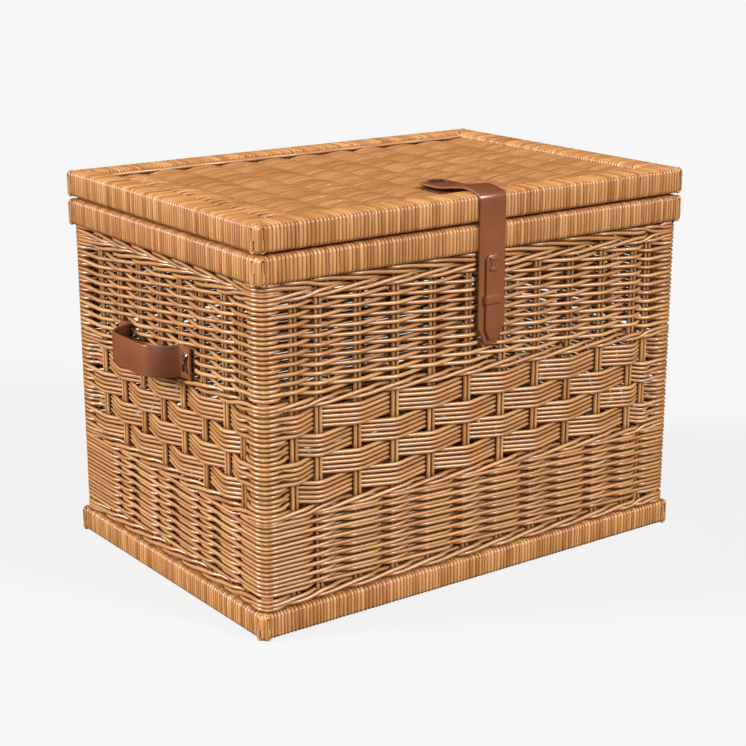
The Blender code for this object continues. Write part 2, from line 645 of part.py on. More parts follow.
# ---- Assembly -------------------------------------------------------------------------------------
def main():
    clear_scene()
    make_collection(TRUNK_COLLECTION)
    make_collection(CUTTER_COLLECTION)
    for name in MATERIALS:
        make_material(name)

    lid_pivot = add_pivot("lid_pivot", (0, HINGE_Y, HINGE_Z))
    strap_pivot = add_pivot("strap_pivot", (STRAP_X, FLAP_Y, STRAP_PIVOT_Z))
    build_frame("base", TRUNK_WIDTH + 2 * BASE_SPREAD, TRUNK_DEPTH, FRAME_BAR, BASE_HEIGHT,
                BASE_HEIGHT / 2)
    rim = build_frame("rim", TRUNK_WIDTH, TRUNK_DEPTH, FRAME_BAR, RIM_HEIGHT,
                      RIM_BOTTOM + RIM_HEIGHT / 2)
    lid = build_frame("lid", TRUNK_WIDTH, TRUNK_DEPTH, LID_BAR, LID_HEIGHT,
                      LID_BOTTOM + LID_HEIGHT / 2, lid_pivot)
    build_walls()
    build_corners()
    build_floor()
    build_lid_panel(lid_pivot)
    build_hinges(rim, lid, lid_pivot)
    build_strap(lid_pivot, strap_pivot)
    for label, side in (("handle_left", -1), ("handle_right", 1)):
        pivot = add_pivot(label + "_pivot", (side * HANDLE_AXIS_X, HANDLE_Y, HANDLE_Z))
        build_handle(label, side, pivot)


main()
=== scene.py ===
"""Woven willow storage trunk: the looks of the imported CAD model, piece by piece.

Willow rods and strips are swept one by one along their real over-and-under paths. Sizes that the
model already fixes are read from it, and the rest are the settings below.
"""

import math

import bpy
import numpy as np
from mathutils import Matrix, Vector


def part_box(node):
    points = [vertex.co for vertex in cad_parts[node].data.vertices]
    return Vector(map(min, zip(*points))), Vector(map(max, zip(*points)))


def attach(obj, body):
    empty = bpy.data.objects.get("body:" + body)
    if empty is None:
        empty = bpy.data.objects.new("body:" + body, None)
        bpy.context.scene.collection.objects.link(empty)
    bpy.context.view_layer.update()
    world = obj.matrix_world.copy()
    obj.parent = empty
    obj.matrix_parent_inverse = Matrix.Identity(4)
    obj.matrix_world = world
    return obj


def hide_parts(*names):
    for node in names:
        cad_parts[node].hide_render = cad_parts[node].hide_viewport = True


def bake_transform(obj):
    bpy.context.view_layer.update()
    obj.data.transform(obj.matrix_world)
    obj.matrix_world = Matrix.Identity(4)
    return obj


bl_info = {
    "name": "Wicker Trunk",
    "version": (1, 0, 0),
    "blender": (4, 5, 0),
    "location": "View3D > Sidebar > Wicker Trunk",
    "description": "Weaves, binds and straps a willow storage trunk round its CAD model",
    "category": "Add Mesh",
}

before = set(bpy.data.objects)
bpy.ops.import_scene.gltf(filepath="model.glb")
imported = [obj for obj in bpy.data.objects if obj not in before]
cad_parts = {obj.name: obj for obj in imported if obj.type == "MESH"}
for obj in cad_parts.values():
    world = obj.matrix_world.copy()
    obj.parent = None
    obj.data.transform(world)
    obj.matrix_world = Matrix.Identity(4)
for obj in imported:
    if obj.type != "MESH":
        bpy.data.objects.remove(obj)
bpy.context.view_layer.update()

# ---- Places that the CAD model fixes ---------------------------------------------------------------
WALL_LOW, WALL_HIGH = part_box("front_wall")
POST_LOW, POST_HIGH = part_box("front_right_post")
SIDE_WALL_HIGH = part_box("right_wall")[1]
POST_X = (POST_LOW.x + POST_HIGH.x) / 2
POST_Y = -(POST_LOW.y + POST_HIGH.y) / 2
WALL_THICKNESS = WALL_HIGH.y - WALL_LOW.y
LID_FRONT_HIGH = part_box("lid_binding_front")[1]
LID_TOP = LID_FRONT_HIGH.z
PANEL_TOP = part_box("lid_panel")[1].z
ANCHOR_BACK_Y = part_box("strap_anchor")[1].y
FLAP_LOW, FLAP_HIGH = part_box("strap_flap")
TONGUE_LOW, TONGUE_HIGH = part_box("strap_tongue")
THONG_LOW, THONG_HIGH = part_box("strap_thong")
KEEPER_LOW, KEEPER_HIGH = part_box("strap_keeper")
LEATHER = FLAP_HIGH.y - FLAP_LOW.y

MM = 0.001
SEED = 41


def length(name, description, default):
    """A size in metres, typed as a millimetre value."""
    return bpy.props.FloatProperty(
        name=name, description=description, default=default * MM, unit="LENGTH", precision=5)


def count(name, description, default):
    return bpy.props.IntProperty(name=name, description=description, default=default, min=1)


def amount(name, description, default):
    return bpy.props.FloatProperty(name=name, description=description, default=default, min=0)


def angle(name, description, degrees):
    return bpy.props.FloatProperty(
        name=name, description=description, default=math.radians(degrees), subtype="ANGLE")


def color(name, description, default):
    return bpy.props.FloatVectorProperty(
        name=name, description=description, default=default, subtype="COLOR", min=0, max=1)


class WeaveSizes(bpy.types.PropertyGroup):
    """Rods, stakes and the heights of the woven bands."""
    rod: length("Rod", "Diameter of a weaving rod", 4.7)
    stake: length("Stake", "Diameter of each of the two rods in a stake", 4.6)
    stake_pair: length("Stake pair", "Spacing of the two rods of a stake", 5.3)
    stake_pitch: length("Stake pitch", "Spacing of the stakes along the front", 50.6)
    side_pitch: length("Side stake pitch", "Spacing of the stakes along an end", 45.9)
    reach: length("Reach", "Rod centre in front of or behind the stakes", 4.2)
    open_low: length("Open weave", "Height of the lowest row of the open weave", 262.6)
    open_pitch: length("Open pitch", "Rise from row to row in the open weave", 5.17)
    open_rows: count("Open rows", "Rows of the open weave", 20)
    block_top: length("Block weave", "Height of the top of the block weave", 244.0)
    block_rise: length("Block height", "Height of each block", 26.25)
    block_rows: count("Block rows", "Rows of blocks, one over the other", 4)
    block_rods: count("Block rods", "Rods in each block", 5)
    close_low: length("Close weave", "Height of the lowest row of the close weave", 46.0)
    close_pitch: length("Close pitch", "Rise from row to row in the close weave", 4.95)
    close_rows: count("Close rows", "Rows of the close weave", 17)
    wale_rise: length("Wale rise", "Climb of a wale's rods on either side of its middle", 4.4)
    wander: length("Wander", "How far a rod strays from its line", 0.35)
    far_rise: length("Far rise", "How much higher a row runs opposite its seam", 2.4)


class BindingSizes(bpy.types.PropertyGroup):
    """Split willow wound round the three frames."""
    pitch: length("Pitch", "Spacing of the strips along a frame", 4.7)
    thickness: length("Thickness", "Height of a strip's crown over its edges", 1.5)
    sink: length("Sink", "How far in from a frame's faces the strips run", 0.4)
    roll: length("Roll", "Radius of the strips over a frame's long edges", 4.2)
    loop: length("Loop", "Width of the oval loop that ends each side", 8.5)


class PanelSizes(bpy.types.PropertyGroup):
    """Woven lid and floor."""
    stick_pitch: length("Stick pitch", "Spacing of the sticks across a panel", 50.2)
    stick_shift: length("Stick shift", "Middle of the row of sticks from the middle of the trunk", 10.5)
    stick: length("Stick", "Diameter of a panel stick", 4.2)
    rod: length("Panel rod", "Diameter of a rod woven across the sticks", 4.9)
    rod_pitch: length("Rod pitch", "Spacing of the rods along a panel", 3.4)
    stray: length("Rod stray", "How far a rod strays sideways from stick to stick", 0.75)


class LeatherSizes(bpy.types.PropertyGroup):
    """Closing strap and handles."""
    edge: length("Edge round", "Rounding of a strap's long edges", 0.9)
    bow: length("Strap bow", "Lift of the closing strap over the lid frame", 3.5)
    tip: length("Strap tip", "Width of the closing strap's blunt tip", 18.5)
    taper: length("Strap taper", "Length over which the closing strap narrows", 20.0)
    tongue_tip: length("Tongue tip", "Width of the tongue's blunt tip", 7.6)
    tongue_taper: length("Tongue taper", "Length over which the tongue narrows", 13.0)
    handle_foot: length("Handle foot", "Middle of a handle to where it leaves the wall", 60.5)
    handle_shoulder: length("Handle shoulder", "How far in from its foot a handle fills out", 11.6)
    lace: length("Lace", "Width of the thong that ties the leather down", 3.2)


class Finishes(bpy.types.PropertyGroup):
    """Colours of willow, leather and metal."""
    willow_dark: color("Willow, dark", "Darkest rods", (0.43, 0.160, 0.042))
    willow_light: color("Willow, light", "Palest rods", (0.78, 0.400, 0.150))
    # Painted shade: the colour that the occlusion mask lays into the hollows of the weave, darkening the
    # places where shade falls
    hollow_shade: color("Hollow shade", "Varnish gathered in the hollows of the weave", (0.055, 0.016, 0.003))
    leather: color("Leather", "Straps and handles", (0.253, 0.084, 0.033))
    lace: color("Lace", "Dark thongs", (0.075, 0.022, 0.012))
    batten: color("Batten", "Wooden cores of the frames", (0.36, 0.20, 0.09))
    brass: color("Brass", "Hinges and screws", (0.55, 0.40, 0.19))


class Studio(bpy.types.PropertyGroup):
    """Camera and light."""
    azimuth: angle("Azimuth", "Camera's turn from the front towards the right", -36.19)
    elevation: angle("Elevation", "Camera's height angle", 16.16)
    distance: length("Distance", "Camera to the middle of the trunk", 2088.5)
    shift_right: length("Aim right", "Camera's sideways step from the line to the middle", -4.0)
    shift_up: length("Aim up", "Camera's upward step from the line to the middle", -25.25)
    lens: amount("Lens", "Focal length in mm", 82.285)
    key: amount("Key light", "Strength from the left", 4.6)
    front: amount("Front light", "Strength from the front, to the right", 3.6)
    fill: amount("Near light", "Strength from beside the camera", 1.5)
    sky: amount("Sky", "Strength of the light above", 0.36)
    ground: amount("Ground", "Strength of the light from below", 0.04)
    floor_glow: amount("Floor glow", "Brightness of the floor without shadows", 0.81)
    floor_paint: amount("Floor paint", "How much of the lights the floor takes on", 0.085)


class TrunkSettings(bpy.types.PropertyGroup):
    """All settings of the trunk."""
    weave: bpy.props.PointerProperty(type=WeaveSizes)
    binding: bpy.props.PointerProperty(type=BindingSizes)
    panel: bpy.props.PointerProperty(type=PanelSizes)
    leather: bpy.props.PointerProperty(type=LeatherSizes)
    finish: bpy.props.PointerProperty(type=Finishes)
    studio: bpy.props.PointerProperty(type=Studio)


def settings():
    return bpy.context.scene.wicker_trunk


# ---- Sweeping rods and strips ------------------------------------------------------------------------
def unit(vectors):
    return vectors / np.linalg.norm(vectors, axis=-1, keepdims=True)


def round_outline(diameter, sides):
    turn = 2 * math.pi * np.arange(sides) / sides
    return diameter / 2 * np.stack([np.cos(turn), np.sin(turn)], -1)


def strip_outline(width, crown, under):
    """A split rod's section: a low crown over a flat back, drawn clockwise from its right edge."""
    across = np.array([0.5, 0.40, 0.2, 0.0, -0.2, -0.40, -0.5])
    height = np.array([-0.35, 0.42, 0.86, 1.0, 0.86, 0.42, -0.35])
    top = np.stack([across * width, height * crown], -1)
    return np.concatenate([top, [[-0.42 * width, -under], [0.42 * width, -under]]])


def band_outline(width, thickness, edge):
    """A leather strap's section with rounded edges."""
    points = []
    for corner, (side, up) in enumerate(((1, 1), (-1, 1), (-1, -1), (1, -1))):
        for step in range(4):
            turn = math.pi / 2 * (corner + step / 3)
            points.append((side * (width / 2 - edge) + edge * math.cos(turn),
                           up * (thickness / 2 - edge) + edge * math.sin(turn)))
    return np.array(points)


SHARP_ANGLE = math.radians(60)


class Bundle:
    """Swept pieces gathered into one mesh.

    Each piece carries a tone, and a lie: the distance along it and the place round it, which the
    finishes use to run their grain.
    """

    def __init__(self, seed):
        self.points, self.quads, self.ends = [], [], []
        self.tones, self.lies = [], []
        self.count = 0
        self.random = np.random.default_rng(SEED + seed)

    def sweep(self, path, up, outline, tone=None, capped=True):
        """Carry an outline (side, up) along a path. up leans towards the outline's up."""
        path = np.asarray(path, float)
        rows, sides = len(path), outline.shape[-2]
        ahead = unit(np.gradient(path, axis=0))
        side = unit(np.cross(ahead, np.broadcast_to(up, path.shape)))
        top = np.cross(side, ahead)
        outline = np.broadcast_to(outline, (rows, sides, 2))
        rings = (path[:, None] + outline[..., :1] * side[:, None] + outline[..., 1:] * top[:, None])
        along = np.concatenate([[0], np.cumsum(np.linalg.norm(np.diff(path, axis=0), axis=1))])
        tone = self.random.random() if tone is None else tone
        lie = np.concatenate([np.broadcast_to(along[:, None, None], (rows, sides, 1)), outline], -1)
        lie = lie + self.random.random(3) * (9, 1, 1)
        ring = np.arange(sides)
        turn = np.roll(ring, -1)
        start = self.count + sides * np.arange(rows - 1)[:, None]
        quads = np.stack([start + ring, start + turn, start + sides + turn, start + sides + ring], -1)
        self.points.append(rings.reshape(-1, 3))
        self.quads.append(quads.reshape(-1, 4))
        if capped:
            self.ends.append(self.count + ring[::-1])
            self.ends.append(self.count + sides * (rows - 1) + ring)
        self.tones.append(np.full(rows * sides, tone))
        self.lies.append(lie.reshape(-1, 3))
        self.count += rows * sides

    def build(self, name, material, body, slot, replaced=()):
        """Make the mesh object, give it its finish and hang it on its CAD body."""
        quads = np.concatenate(self.quads)
        corners = np.concatenate([quads.reshape(-1), *self.ends])
        sizes = np.concatenate([np.full(len(quads), 4), [len(end) for end in self.ends]]).astype(int)
        mesh = bpy.data.meshes.new(name)
        points = np.concatenate(self.points)
        mesh.vertices.add(len(points))
        mesh.vertices.foreach_set("co", points.reshape(-1))
        mesh.loops.add(len(corners))
        mesh.loops.foreach_set("vertex_index", corners)
        mesh.polygons.add(len(sizes))
        mesh.polygons.foreach_set("loop_start", np.concatenate([[0], np.cumsum(sizes)[:-1]]))
        tones = mesh.attributes.new("tone", "FLOAT", "POINT")
        tones.data.foreach_set("value", np.concatenate(self.tones))
        lies = mesh.attributes.new("lie", "FLOAT_VECTOR", "POINT")
        lies.data.foreach_set("vector", np.concatenate(self.lies).reshape(-1))
        mesh.update(calc_edges=True)
        mesh.validate()
        mesh.shade_smooth()
        mesh.set_sharp_from_angle(angle=SHARP_ANGLE)
        mesh.materials.append(material)
        obj = bpy.data.objects.new(name, mesh)
        bpy.context.scene.collection.objects.link(obj)
        if body:
            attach(obj, body)
        if replaced:
            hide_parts(*replaced)
        return obj


# ---- The way round the four walls ------------------------------------------------------------------
MID_RADIUS = SIDE_WALL_HIGH.x - WALL_THICKNESS / 2 - POST_X
FRONT_RUN = 2 * POST_X
SIDE_RUN = 2 * POST_Y
CORNER_RUN = math.pi / 2 * MID_RADIUS
HALF_ROUND = FRONT_RUN + SIDE_RUN + 2 * CORNER_RUN
AROUND = 2 * HALF_ROUND
SEAM = FRONT_RUN + SIDE_RUN + 1.5 * CORNER_RUN   # rods start and end at the back right post

FRONT_STAKES = (-254.6 * MM, -223.1 * MM, 255.4 * MM)   # first, second and last, from the middle
END_STAKES = (-145.9 * MM, 162.9 * MM)                  # first and last of the right end
FRONT_COUNT, END_COUNT = 12, 8
FRONT_HOLD, SIDE_HOLD = 12 * MM, 14 * MM   # rods stay outside this far past a corner's bend
EASE, FINE_STEP = 3.4 * MM, 1.5 * MM       # a rod's bends are eased over this length, in these steps
ROD_STEP = 5.4 * MM                        # length of a rod's straight pieces
PAUSE = 3.5 * MM                           # half the length that a rod stays beside a stake
DIVE = 5 * MM                              # length in which a rod dives in next to a corner post
WALES = ((34.8, 1), (131.5, 1), (251.8, 1), (369.8, 1), (380.6, -1))   # height in mm, and lean


def wall_point(along, out, height):
    """Points on the way round the walls: along it, out from the stakes, and up."""
    along = np.mod(along, AROUND)
    far_half = along >= HALF_ROUND
    along = np.where(far_half, along - HALF_ROUND, along)
    reach = MID_RADIUS + out
    first = np.clip((along - FRONT_RUN) / MID_RADIUS, 0, math.pi / 2)
    past = along - FRONT_RUN - CORNER_RUN
    second = np.clip((past - SIDE_RUN) / MID_RADIUS, 0, math.pi / 2)
    turn = first + second
    x = -POST_X + np.clip(along, 0, FRONT_RUN) + reach * np.sin(turn)
    y = -POST_Y + np.clip(past, 0, SIDE_RUN) - reach * np.cos(turn)
    sign = np.where(far_half, -1, 1)
    return np.stack([x * sign, y * sign, np.broadcast_to(height, x.shape)], -1)


def wall_stations(weave):
    """Distance of every stake along the way round, and whether an odd rod passes in front of it."""
    first, second, last = FRONT_STAKES
    front = [first, *(second + weave.stake_pitch * np.arange(FRONT_COUNT - 2)), last]
    first, last = END_STAKES
    end = [*(first + weave.side_pitch * np.arange(END_COUNT - 1)), last]
    half = [x + POST_X for x in front] + [FRONT_RUN + CORNER_RUN + y + POST_Y for y in end]
    ahead = [1, -1] * (FRONT_COUNT // 2) + [-1, 1] * (END_COUNT // 2)
    return np.array(half + [HALF_ROUND + s for s in half]), np.array(ahead + ahead)


def corner_holds():
    """Start and end of each stretch round a corner post."""
    holds = []
    for half in (0, HALF_ROUND):
        holds.append((half - CORNER_RUN - SIDE_HOLD, half + FRONT_HOLD))
        holds.append((half + FRONT_RUN - FRONT_HOLD, half + FRONT_RUN + CORNER_RUN + SIDE_HOLD))
    return holds


def off_corner_posts(along, out):
    """Where a rod is kept that is left out inside the corner posts."""
    at_corner = np.zeros(len(along), bool)
    for low, high in corner_holds():
        at_corner |= np.mod(along - low, AROUND) < high - low
    return (out >= 0) | ~at_corner


def smooth_keys(along, keys):
    """Values at points along the way round, straight between (place, value) keys, then eased."""
    keys = sorted((place % AROUND, value) for place, value in keys)
    places, values = np.array(keys).T
    reach = int(3 * EASE / FINE_STEP)
    kernel = np.exp(-0.5 * (np.arange(-reach, reach + 1) * FINE_STEP / EASE) ** 2)
    fine = np.arange(along[0] - 2 * reach * FINE_STEP, along[-1] + 2 * reach * FINE_STEP, FINE_STEP)
    line = np.interp(np.mod(fine, AROUND), places, values, period=AROUND)
    return np.interp(along, fine, np.convolve(line, kernel / kernel.sum(), "same"))


class WallRods:
    """Lays rods round the walls into a bundle."""

    def __init__(self, seed):
        self.bundle = Bundle(seed)
        self.random = self.bundle.random
        self.along = SEAM + np.arange(0, AROUND + 4 * MM, ROD_STEP)

    def lay(self, out_keys, height_keys, diameter, keep=None):
        """One rod with keys for how far out and how high it runs. keep picks stretches of it."""
        weave = settings().weave
        out = smooth_keys(self.along, out_keys)
        height = smooth_keys(self.along, height_keys)
        stray = np.cumsum(self.random.normal(0, 1, len(self.along)))
        stray = np.convolve(stray - np.linspace(stray[0], stray[-1], len(stray)), np.ones(9) / 9, "same")
        height = height + weave.wander * stray / np.abs(stray).max()
        height = height + weave.far_rise * np.sin(math.pi * (self.along - SEAM) / AROUND) ** 2
        outline = round_outline(diameter * self.random.normal(1, 0.03), 8)
        path = wall_point(self.along, out, height)
        kept = keep(self.along, out) if keep else np.ones(len(path), bool)
        tone = self.random.random()
        edges = np.flatnonzero(np.diff(np.concatenate([[0], kept, [0]]).astype(int)))
        for start, end in zip(edges[::2], edges[1::2]):
            if end - start > 3:
                self.bundle.sweep(path[start:end], (0, 0, 1), outline, tone)


def weave_keys(stations, sides, reach, sag, height, late=0.0, dip=False):
    """Keys of a rod that passes the stakes on the given sides and every corner post outside.

    A rod that goes behind the stake next to a corner dives sharply, late by the given length. dip
    tucks a rod in for a moment before it passes in front of that stake.
    """
    out, rise = [], []
    for place, side in zip(stations, sides):
        for shift in (-PAUSE, PAUSE):
            out.append((place + shift, side * reach))
            rise.append((place + shift, height - side * sag))
    for low, high in corner_holds():
        for place in (low, (low + high) / 2, high):
            out.append((place, reach))
            rise.append((place, height))
        for edge, way in ((low, -1), (high, 1)):
            nearest = int(np.argmin((way * (stations - edge)) % AROUND))
            if sides[nearest] < 0:
                out.append((edge + way * (DIVE + late), -0.75 * reach))
                rise.append((edge + way * (DIVE + late), height + 0.15 * late))
                if late:
                    out.append((edge + way * late, reach))
            elif dip:
                out += [(edge + way * DIVE, -0.8 * reach), (edge + way * 14 * MM, reach)]
    return out, rise


def lay_open_weave(rods):
    """Single rods that go in front of one stake and behind the next."""
    weave = settings().weave
    stations, ahead = wall_stations(weave)
    for row in range(weave.open_rows):
        sides = ahead if row % 2 else -ahead
        height = weave.open_low + row * weave.open_pitch
        out, rise = weave_keys(stations, sides, weave.reach, 1.0 * MM, height)
        rods.lay(out, rise, weave.rod)


def lay_block_weave(rods):
    """The same weave with several rods side by side, whose sides change from block to block."""
    weave = settings().weave
    stations, ahead = wall_stations(weave)
    pitch = weave.block_rise / weave.block_rods
    for block in range(weave.block_rows):
        sides = -ahead if block % 2 else ahead
        for rod in range(weave.block_rods):
            height = weave.block_top - block * weave.block_rise - (rod + 0.5) * pitch
            late = 0.0 if rod % 2 else 7 * MM
            out, rise = weave_keys(stations, sides, weave.reach, 1.5 * MM, height, late, rod % 2 == 1)
            rods.lay(out, rise, weave.rod)


def close_swaps(stations, shifted):
    """Places where a row's two rods change sides, between every second pair of stakes."""
    swaps = []
    for index, (place, after) in enumerate(zip(stations, np.roll(stations, -1))):
        number, stakes = index % (FRONT_COUNT + END_COUNT), FRONT_COUNT
        if number >= FRONT_COUNT:
            number, stakes = number - FRONT_COUNT, END_COUNT
        if number % 2 == shifted and number < stakes - 1:
            swaps.append((place + after) / 2 + (0.0 if shifted else 6 * MM))
    return swaps


def close_keys(swaps, shifted, side, height):
    """Keys of one of a row's two rods. It changes sides at every swap."""
    reach = settings().weave.reach
    lead, lag = (7 * MM, 7 * MM) if shifted else (3 * MM, 4 * MM)
    out, rise = [], []
    for swap, next_swap in zip(swaps, [*swaps[1:], swaps[0] + AROUND]):
        side = -side
        if side > 0:
            out += [(swap + lag - 5 * MM, -0.6 * reach), (swap + lag + 6 * MM, reach),
                    (next_swap - lead - 6 * MM, reach)]
            rise += [(swap + lag, height + 1.6 * MM), (swap + lag + 20 * MM, height + 0.8 * MM)]
            if shifted:
                rise += [(next_swap - 30 * MM, height - 0.6 * MM), (next_swap - lead, height + 1.3 * MM)]
            else:
                rise.append((next_swap - lead, height - 1.0 * MM))
        else:
            out += [(swap - lead + 5 * MM, -0.6 * reach), (swap + 12 * MM, -reach),
                    (next_swap - 12 * MM, -reach)]
            rise += [(swap + 12 * MM, height + 0.5 * MM), (next_swap - 12 * MM, height + 0.5 * MM)]
    return out, rise


def lay_close_weave(rods):
    """Two rods to each row that swap places, at shifted places in every second row."""
    weave = settings().weave
    stations, _ = wall_stations(weave)
    for row in range(weave.close_rows):
        height = weave.close_low + row * weave.close_pitch
        shifted = row % 2
        swaps = close_swaps(stations, shifted)
        for side in (1, -1):
            out, rise = close_keys(swaps, shifted, side, height)
            rods.lay(out, rise, weave.rod * 0.97, off_corner_posts)


def lay_wale(rods, middle, lean):
    """Three rods, each in front of two stakes and behind one. lean 1 climbs to the right."""
    weave = settings().weave
    stations, _ = wall_stations(weave)
    begin = int(np.searchsorted(stations, SEAM % AROUND))
    order = np.roll(stations, -begin)
    holds = corner_holds()
    for strand in range(3):
        out, rise = [], []
        for number, place in enumerate(order):
            stage = (number - strand) % 3
            if stage == 0:
                out += [(place - 13 * MM, -0.3 * weave.reach), (place - 4 * MM, weave.reach)]
                rise += [(place - 13 * MM, -0.75), (place, -0.68), (place + 14 * MM, -0.55)]
            elif stage == 1:
                out += [(place + 14 * MM, weave.reach), (place + 27 * MM, -0.2 * weave.reach)]
                rise += [(place, 0.52), (place + 24 * MM, 1.0)]
            else:
                out.append((place, -weave.reach))
                rise += [(place, 0.4), (place + 22 * MM, -0.6)]
        out, rise = ([(place, value) for place, value in keys
                      if all((place - low) % AROUND >= high - low for low, high in holds)]
                     for keys in (out, rise))
        for low, high in holds:
            after = int(np.argmin((order - high) % AROUND))
            level = (-1.0, 0.0, 1.0)[(after - strand) % 3]
            for place in (low, (low + high) / 2, high):
                out.append((place, weave.reach))
                rise.append((place, level))
        rise = [(place, middle + lean * weave.wale_rise * value) for place, value in rise]
        rods.lay(out, rise, weave.rod)


def lay_wales(rods):
    for middle, lean in WALES:
        lay_wale(rods, middle * MM, lean)


def lay_stakes(bundle):
    """Paired upright stakes, from the base frame to the rim."""
    weave = settings().weave
    stations, _ = wall_stations(weave)
    height = np.linspace(WALL_LOW.z - 1 * MM, WALL_HIGH.z + 1 * MM, 22)
    for place in stations:
        for side in (-0.5, 0.5):
            bend = bundle.random.normal(0, 0.25 * MM, 4)
            sway = np.interp(height, np.linspace(height[0], height[-1], 4), bend)
            path = wall_point(place + side * weave.stake_pair + sway, np.zeros(len(height)), height)
            bundle.sweep(path, (1, 1, 0), round_outline(weave.stake, 10))


# ---- Panels of the lid and the floor ---------------------------------------------------------------
PANEL_SEGMENT = 5.6 * MM                   # length of a panel rod's straight pieces


def panel_sticks(bundle, low, high, sticks):
    """Pairs of sticks from front to back at mid height."""
    stick = settings().panel.stick
    across = np.linspace(low.y, high.y, 24)
    middle = np.full(24, (low.z + high.z) / 2)
    for x in sticks:
        for side in (-0.5, 0.5):
            path = np.stack([np.full(24, x + side * stick * 1.04), across, middle], -1)
            bundle.sweep(path, (0, 0, 1), round_outline(stick, 8))


def panel_rods(bundle, low, high, sticks, whole):
    """Rods side by side across the sticks, over one and under the next.

    Half of the rods stop at the outermost stick of one end. Each strays sideways and bows by
    different amounts from stick to stick.
    """
    panel = settings().panel
    middle = (low.z + high.z) / 2
    reach = (high.z - low.z - panel.rod) / 2 - 0.1 * MM
    rods = int((high.y - low.y - 16 * MM) / panel.rod_pitch) + 1
    first = (low.y + high.y - (rods - 1) * panel.rod_pitch) / 2
    columns = np.arange(-1, len(sticks) + 1)
    patches = bundle.random.normal(0, 1, (rods // 8 + 2, len(columns)))
    for rod in range(rods):
        x = whole
        if rod % 4 == 1:
            x = whole[whole > sticks[0] + 0.35 * panel.stick_pitch]
        if rod % 4 == 2:
            x = whole[whole < sticks[-1] - 0.35 * panel.stick_pitch]
        place = (x - sticks[0]) / panel.stick_pitch
        wave = np.cos(place * math.pi) * (1 if rod % 2 else -1)
        patch = np.interp(place, columns, patches[rod // 8])
        bow = np.interp(place, columns, bundle.random.uniform(0.75, 1.0, len(columns)))
        lift = np.minimum(reach * wave * bow + 0.35 * MM * patch, high.z - middle - panel.rod / 2)
        stray = np.interp(place, columns, bundle.random.normal(0, panel.stray, len(columns)))
        path = np.stack([x, first + rod * panel.rod_pitch + stray, middle + lift], -1)
        outline = round_outline(panel.rod * bundle.random.normal(1, 0.04), 6)
        bundle.sweep(path, (0, 0, 1), outline, tone=0.85 * bundle.random.random() ** 1.5)


def panel_border(bundle, low, high, sticks, whole):
    """One rod along the front and one along the back, a little over the others."""
    panel = settings().panel
    wave = 0.9 * MM * np.cos((whole - sticks[0]) / panel.stick_pitch * math.pi)
    height = np.full(len(whole), high.z - panel.rod / 2 + 1.5 * MM)
    for y in (low.y + 2.7 * MM, high.y - 2.7 * MM):
        bundle.sweep(np.stack([whole, y + wave, height], -1), (0, 0, 1), round_outline(panel.rod, 8))


def weave_panel(name, node, body, seed):
    """A frame's woven filling: sticks, the rods across them and a border rod on either side."""
    panel = settings().panel
    low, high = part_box(node)
    spaces = int((high.x - low.x - 12 * MM) / panel.stick_pitch)
    sticks = panel.stick_shift + (np.arange(spaces + 1) - spaces / 2) * panel.stick_pitch
    whole = np.arange(low.x, high.x + 1 * MM, PANEL_SEGMENT)
    bundle = Bundle(seed)
    panel_sticks(bundle, low, high, sticks)
    panel_rods(bundle, low, high, sticks, whole)
    panel_border(bundle, low, high, sticks, whole)
    return bundle.build(name, willow("woven_willow"), body, "willow_rod", (node,))


# ---- Bindings of the frames ------------------------------------------------------------------------
def binding_section(bar, height, sizes, trim):
    """The way a strip runs round a frame's bar, from under it, up its face and over its top.

    Each point is (in from the face, up from the middle). trim stops a strip at a mitre.
    """
    half, roll, sink = height / 2, sizes.roll, sizes.sink
    corners = (((roll, -half + roll), 270), ((roll, half - roll), 180),
               ((bar - roll, half - roll), 90), ((bar - roll, -half + roll), 0))
    bends = [[(cx + roll * math.cos(math.radians(start - 30 * step)),
               cz + roll * math.sin(math.radians(start - 30 * step))) for step in range(4)]
             for (cx, cz), start in corners]
    whole = trim >= bar
    if whole:
        points = [*bends[0], *bends[1], *bends[2], *bends[3], bends[0][0]]
    else:
        inner = max(trim, roll + 0.5 * MM)
        points = [(inner, -half), *bends[0], *bends[1], (inner, half)]
    inward, up = np.array(points).T
    inward = np.interp(inward, (0, bar), (sink, bar - sink))
    up = np.interp(up, (-half, half), (-half + sizes.thickness, half - sink))
    return np.stack([inward, up], -1), whole


def bind_side(bundle, start, ahead, inward, run, bar, height):
    """Wind strips along one side of a frame. start is its outer corner at mid height."""
    sizes = settings().binding
    widths = bundle.random.uniform(0.82, 1.18, round(run / sizes.pitch))
    edges = np.concatenate([[0], np.cumsum(widths)]) * run / widths.sum()
    for left, right in zip(edges, edges[1:]):
        middle = (left + right) / 2
        section, whole = binding_section(bar, height, sizes, min(middle, run - middle))
        shift = bundle.random.normal(0, 0.12 * MM, len(section))
        path = (start + ahead * (middle + shift)[:, None] + inward * section[:, :1]
                + np.array([0, 0, 1]) * section[:, 1:])
        outward = path - (start + ahead * middle + inward * bar / 2)
        outward -= ahead * (outward @ ahead)[:, None]
        crown = sizes.thickness * bundle.random.uniform(0.85, 1.0)
        outline = strip_outline((right - left) * 1.02, crown, 0.4 * MM)
        bundle.sweep(path, outward, outline, capped=not whole)


def end_loop(bundle, middle, ahead, outward, height):
    """The flattened oval loop that finishes a side at its corner, and the strip inside it."""
    half = height / 2 - 1.6 * MM
    radius = settings().binding.loop / 2 - 1.4 * MM
    turn = np.linspace(0, 2 * math.pi, 25)
    across = radius * np.cos(turn)
    up = radius * np.sin(turn) + np.sign(np.sin(turn)) * (half - radius)
    path = middle + np.outer(across, ahead) + np.outer(up, (0, 0, 1)) + outward * 0.5 * MM
    bundle.sweep(path, outward, strip_outline(3.0 * MM, 1.9 * MM, 1.2 * MM))
    inner = np.linspace(-(half - radius), half - radius, 7)
    path = middle + np.outer(inner, (0, 0, 1)) + outward * 0.3 * MM
    bundle.sweep(path, outward, strip_outline(3.2 * MM, 1.7 * MM, 1.0 * MM))


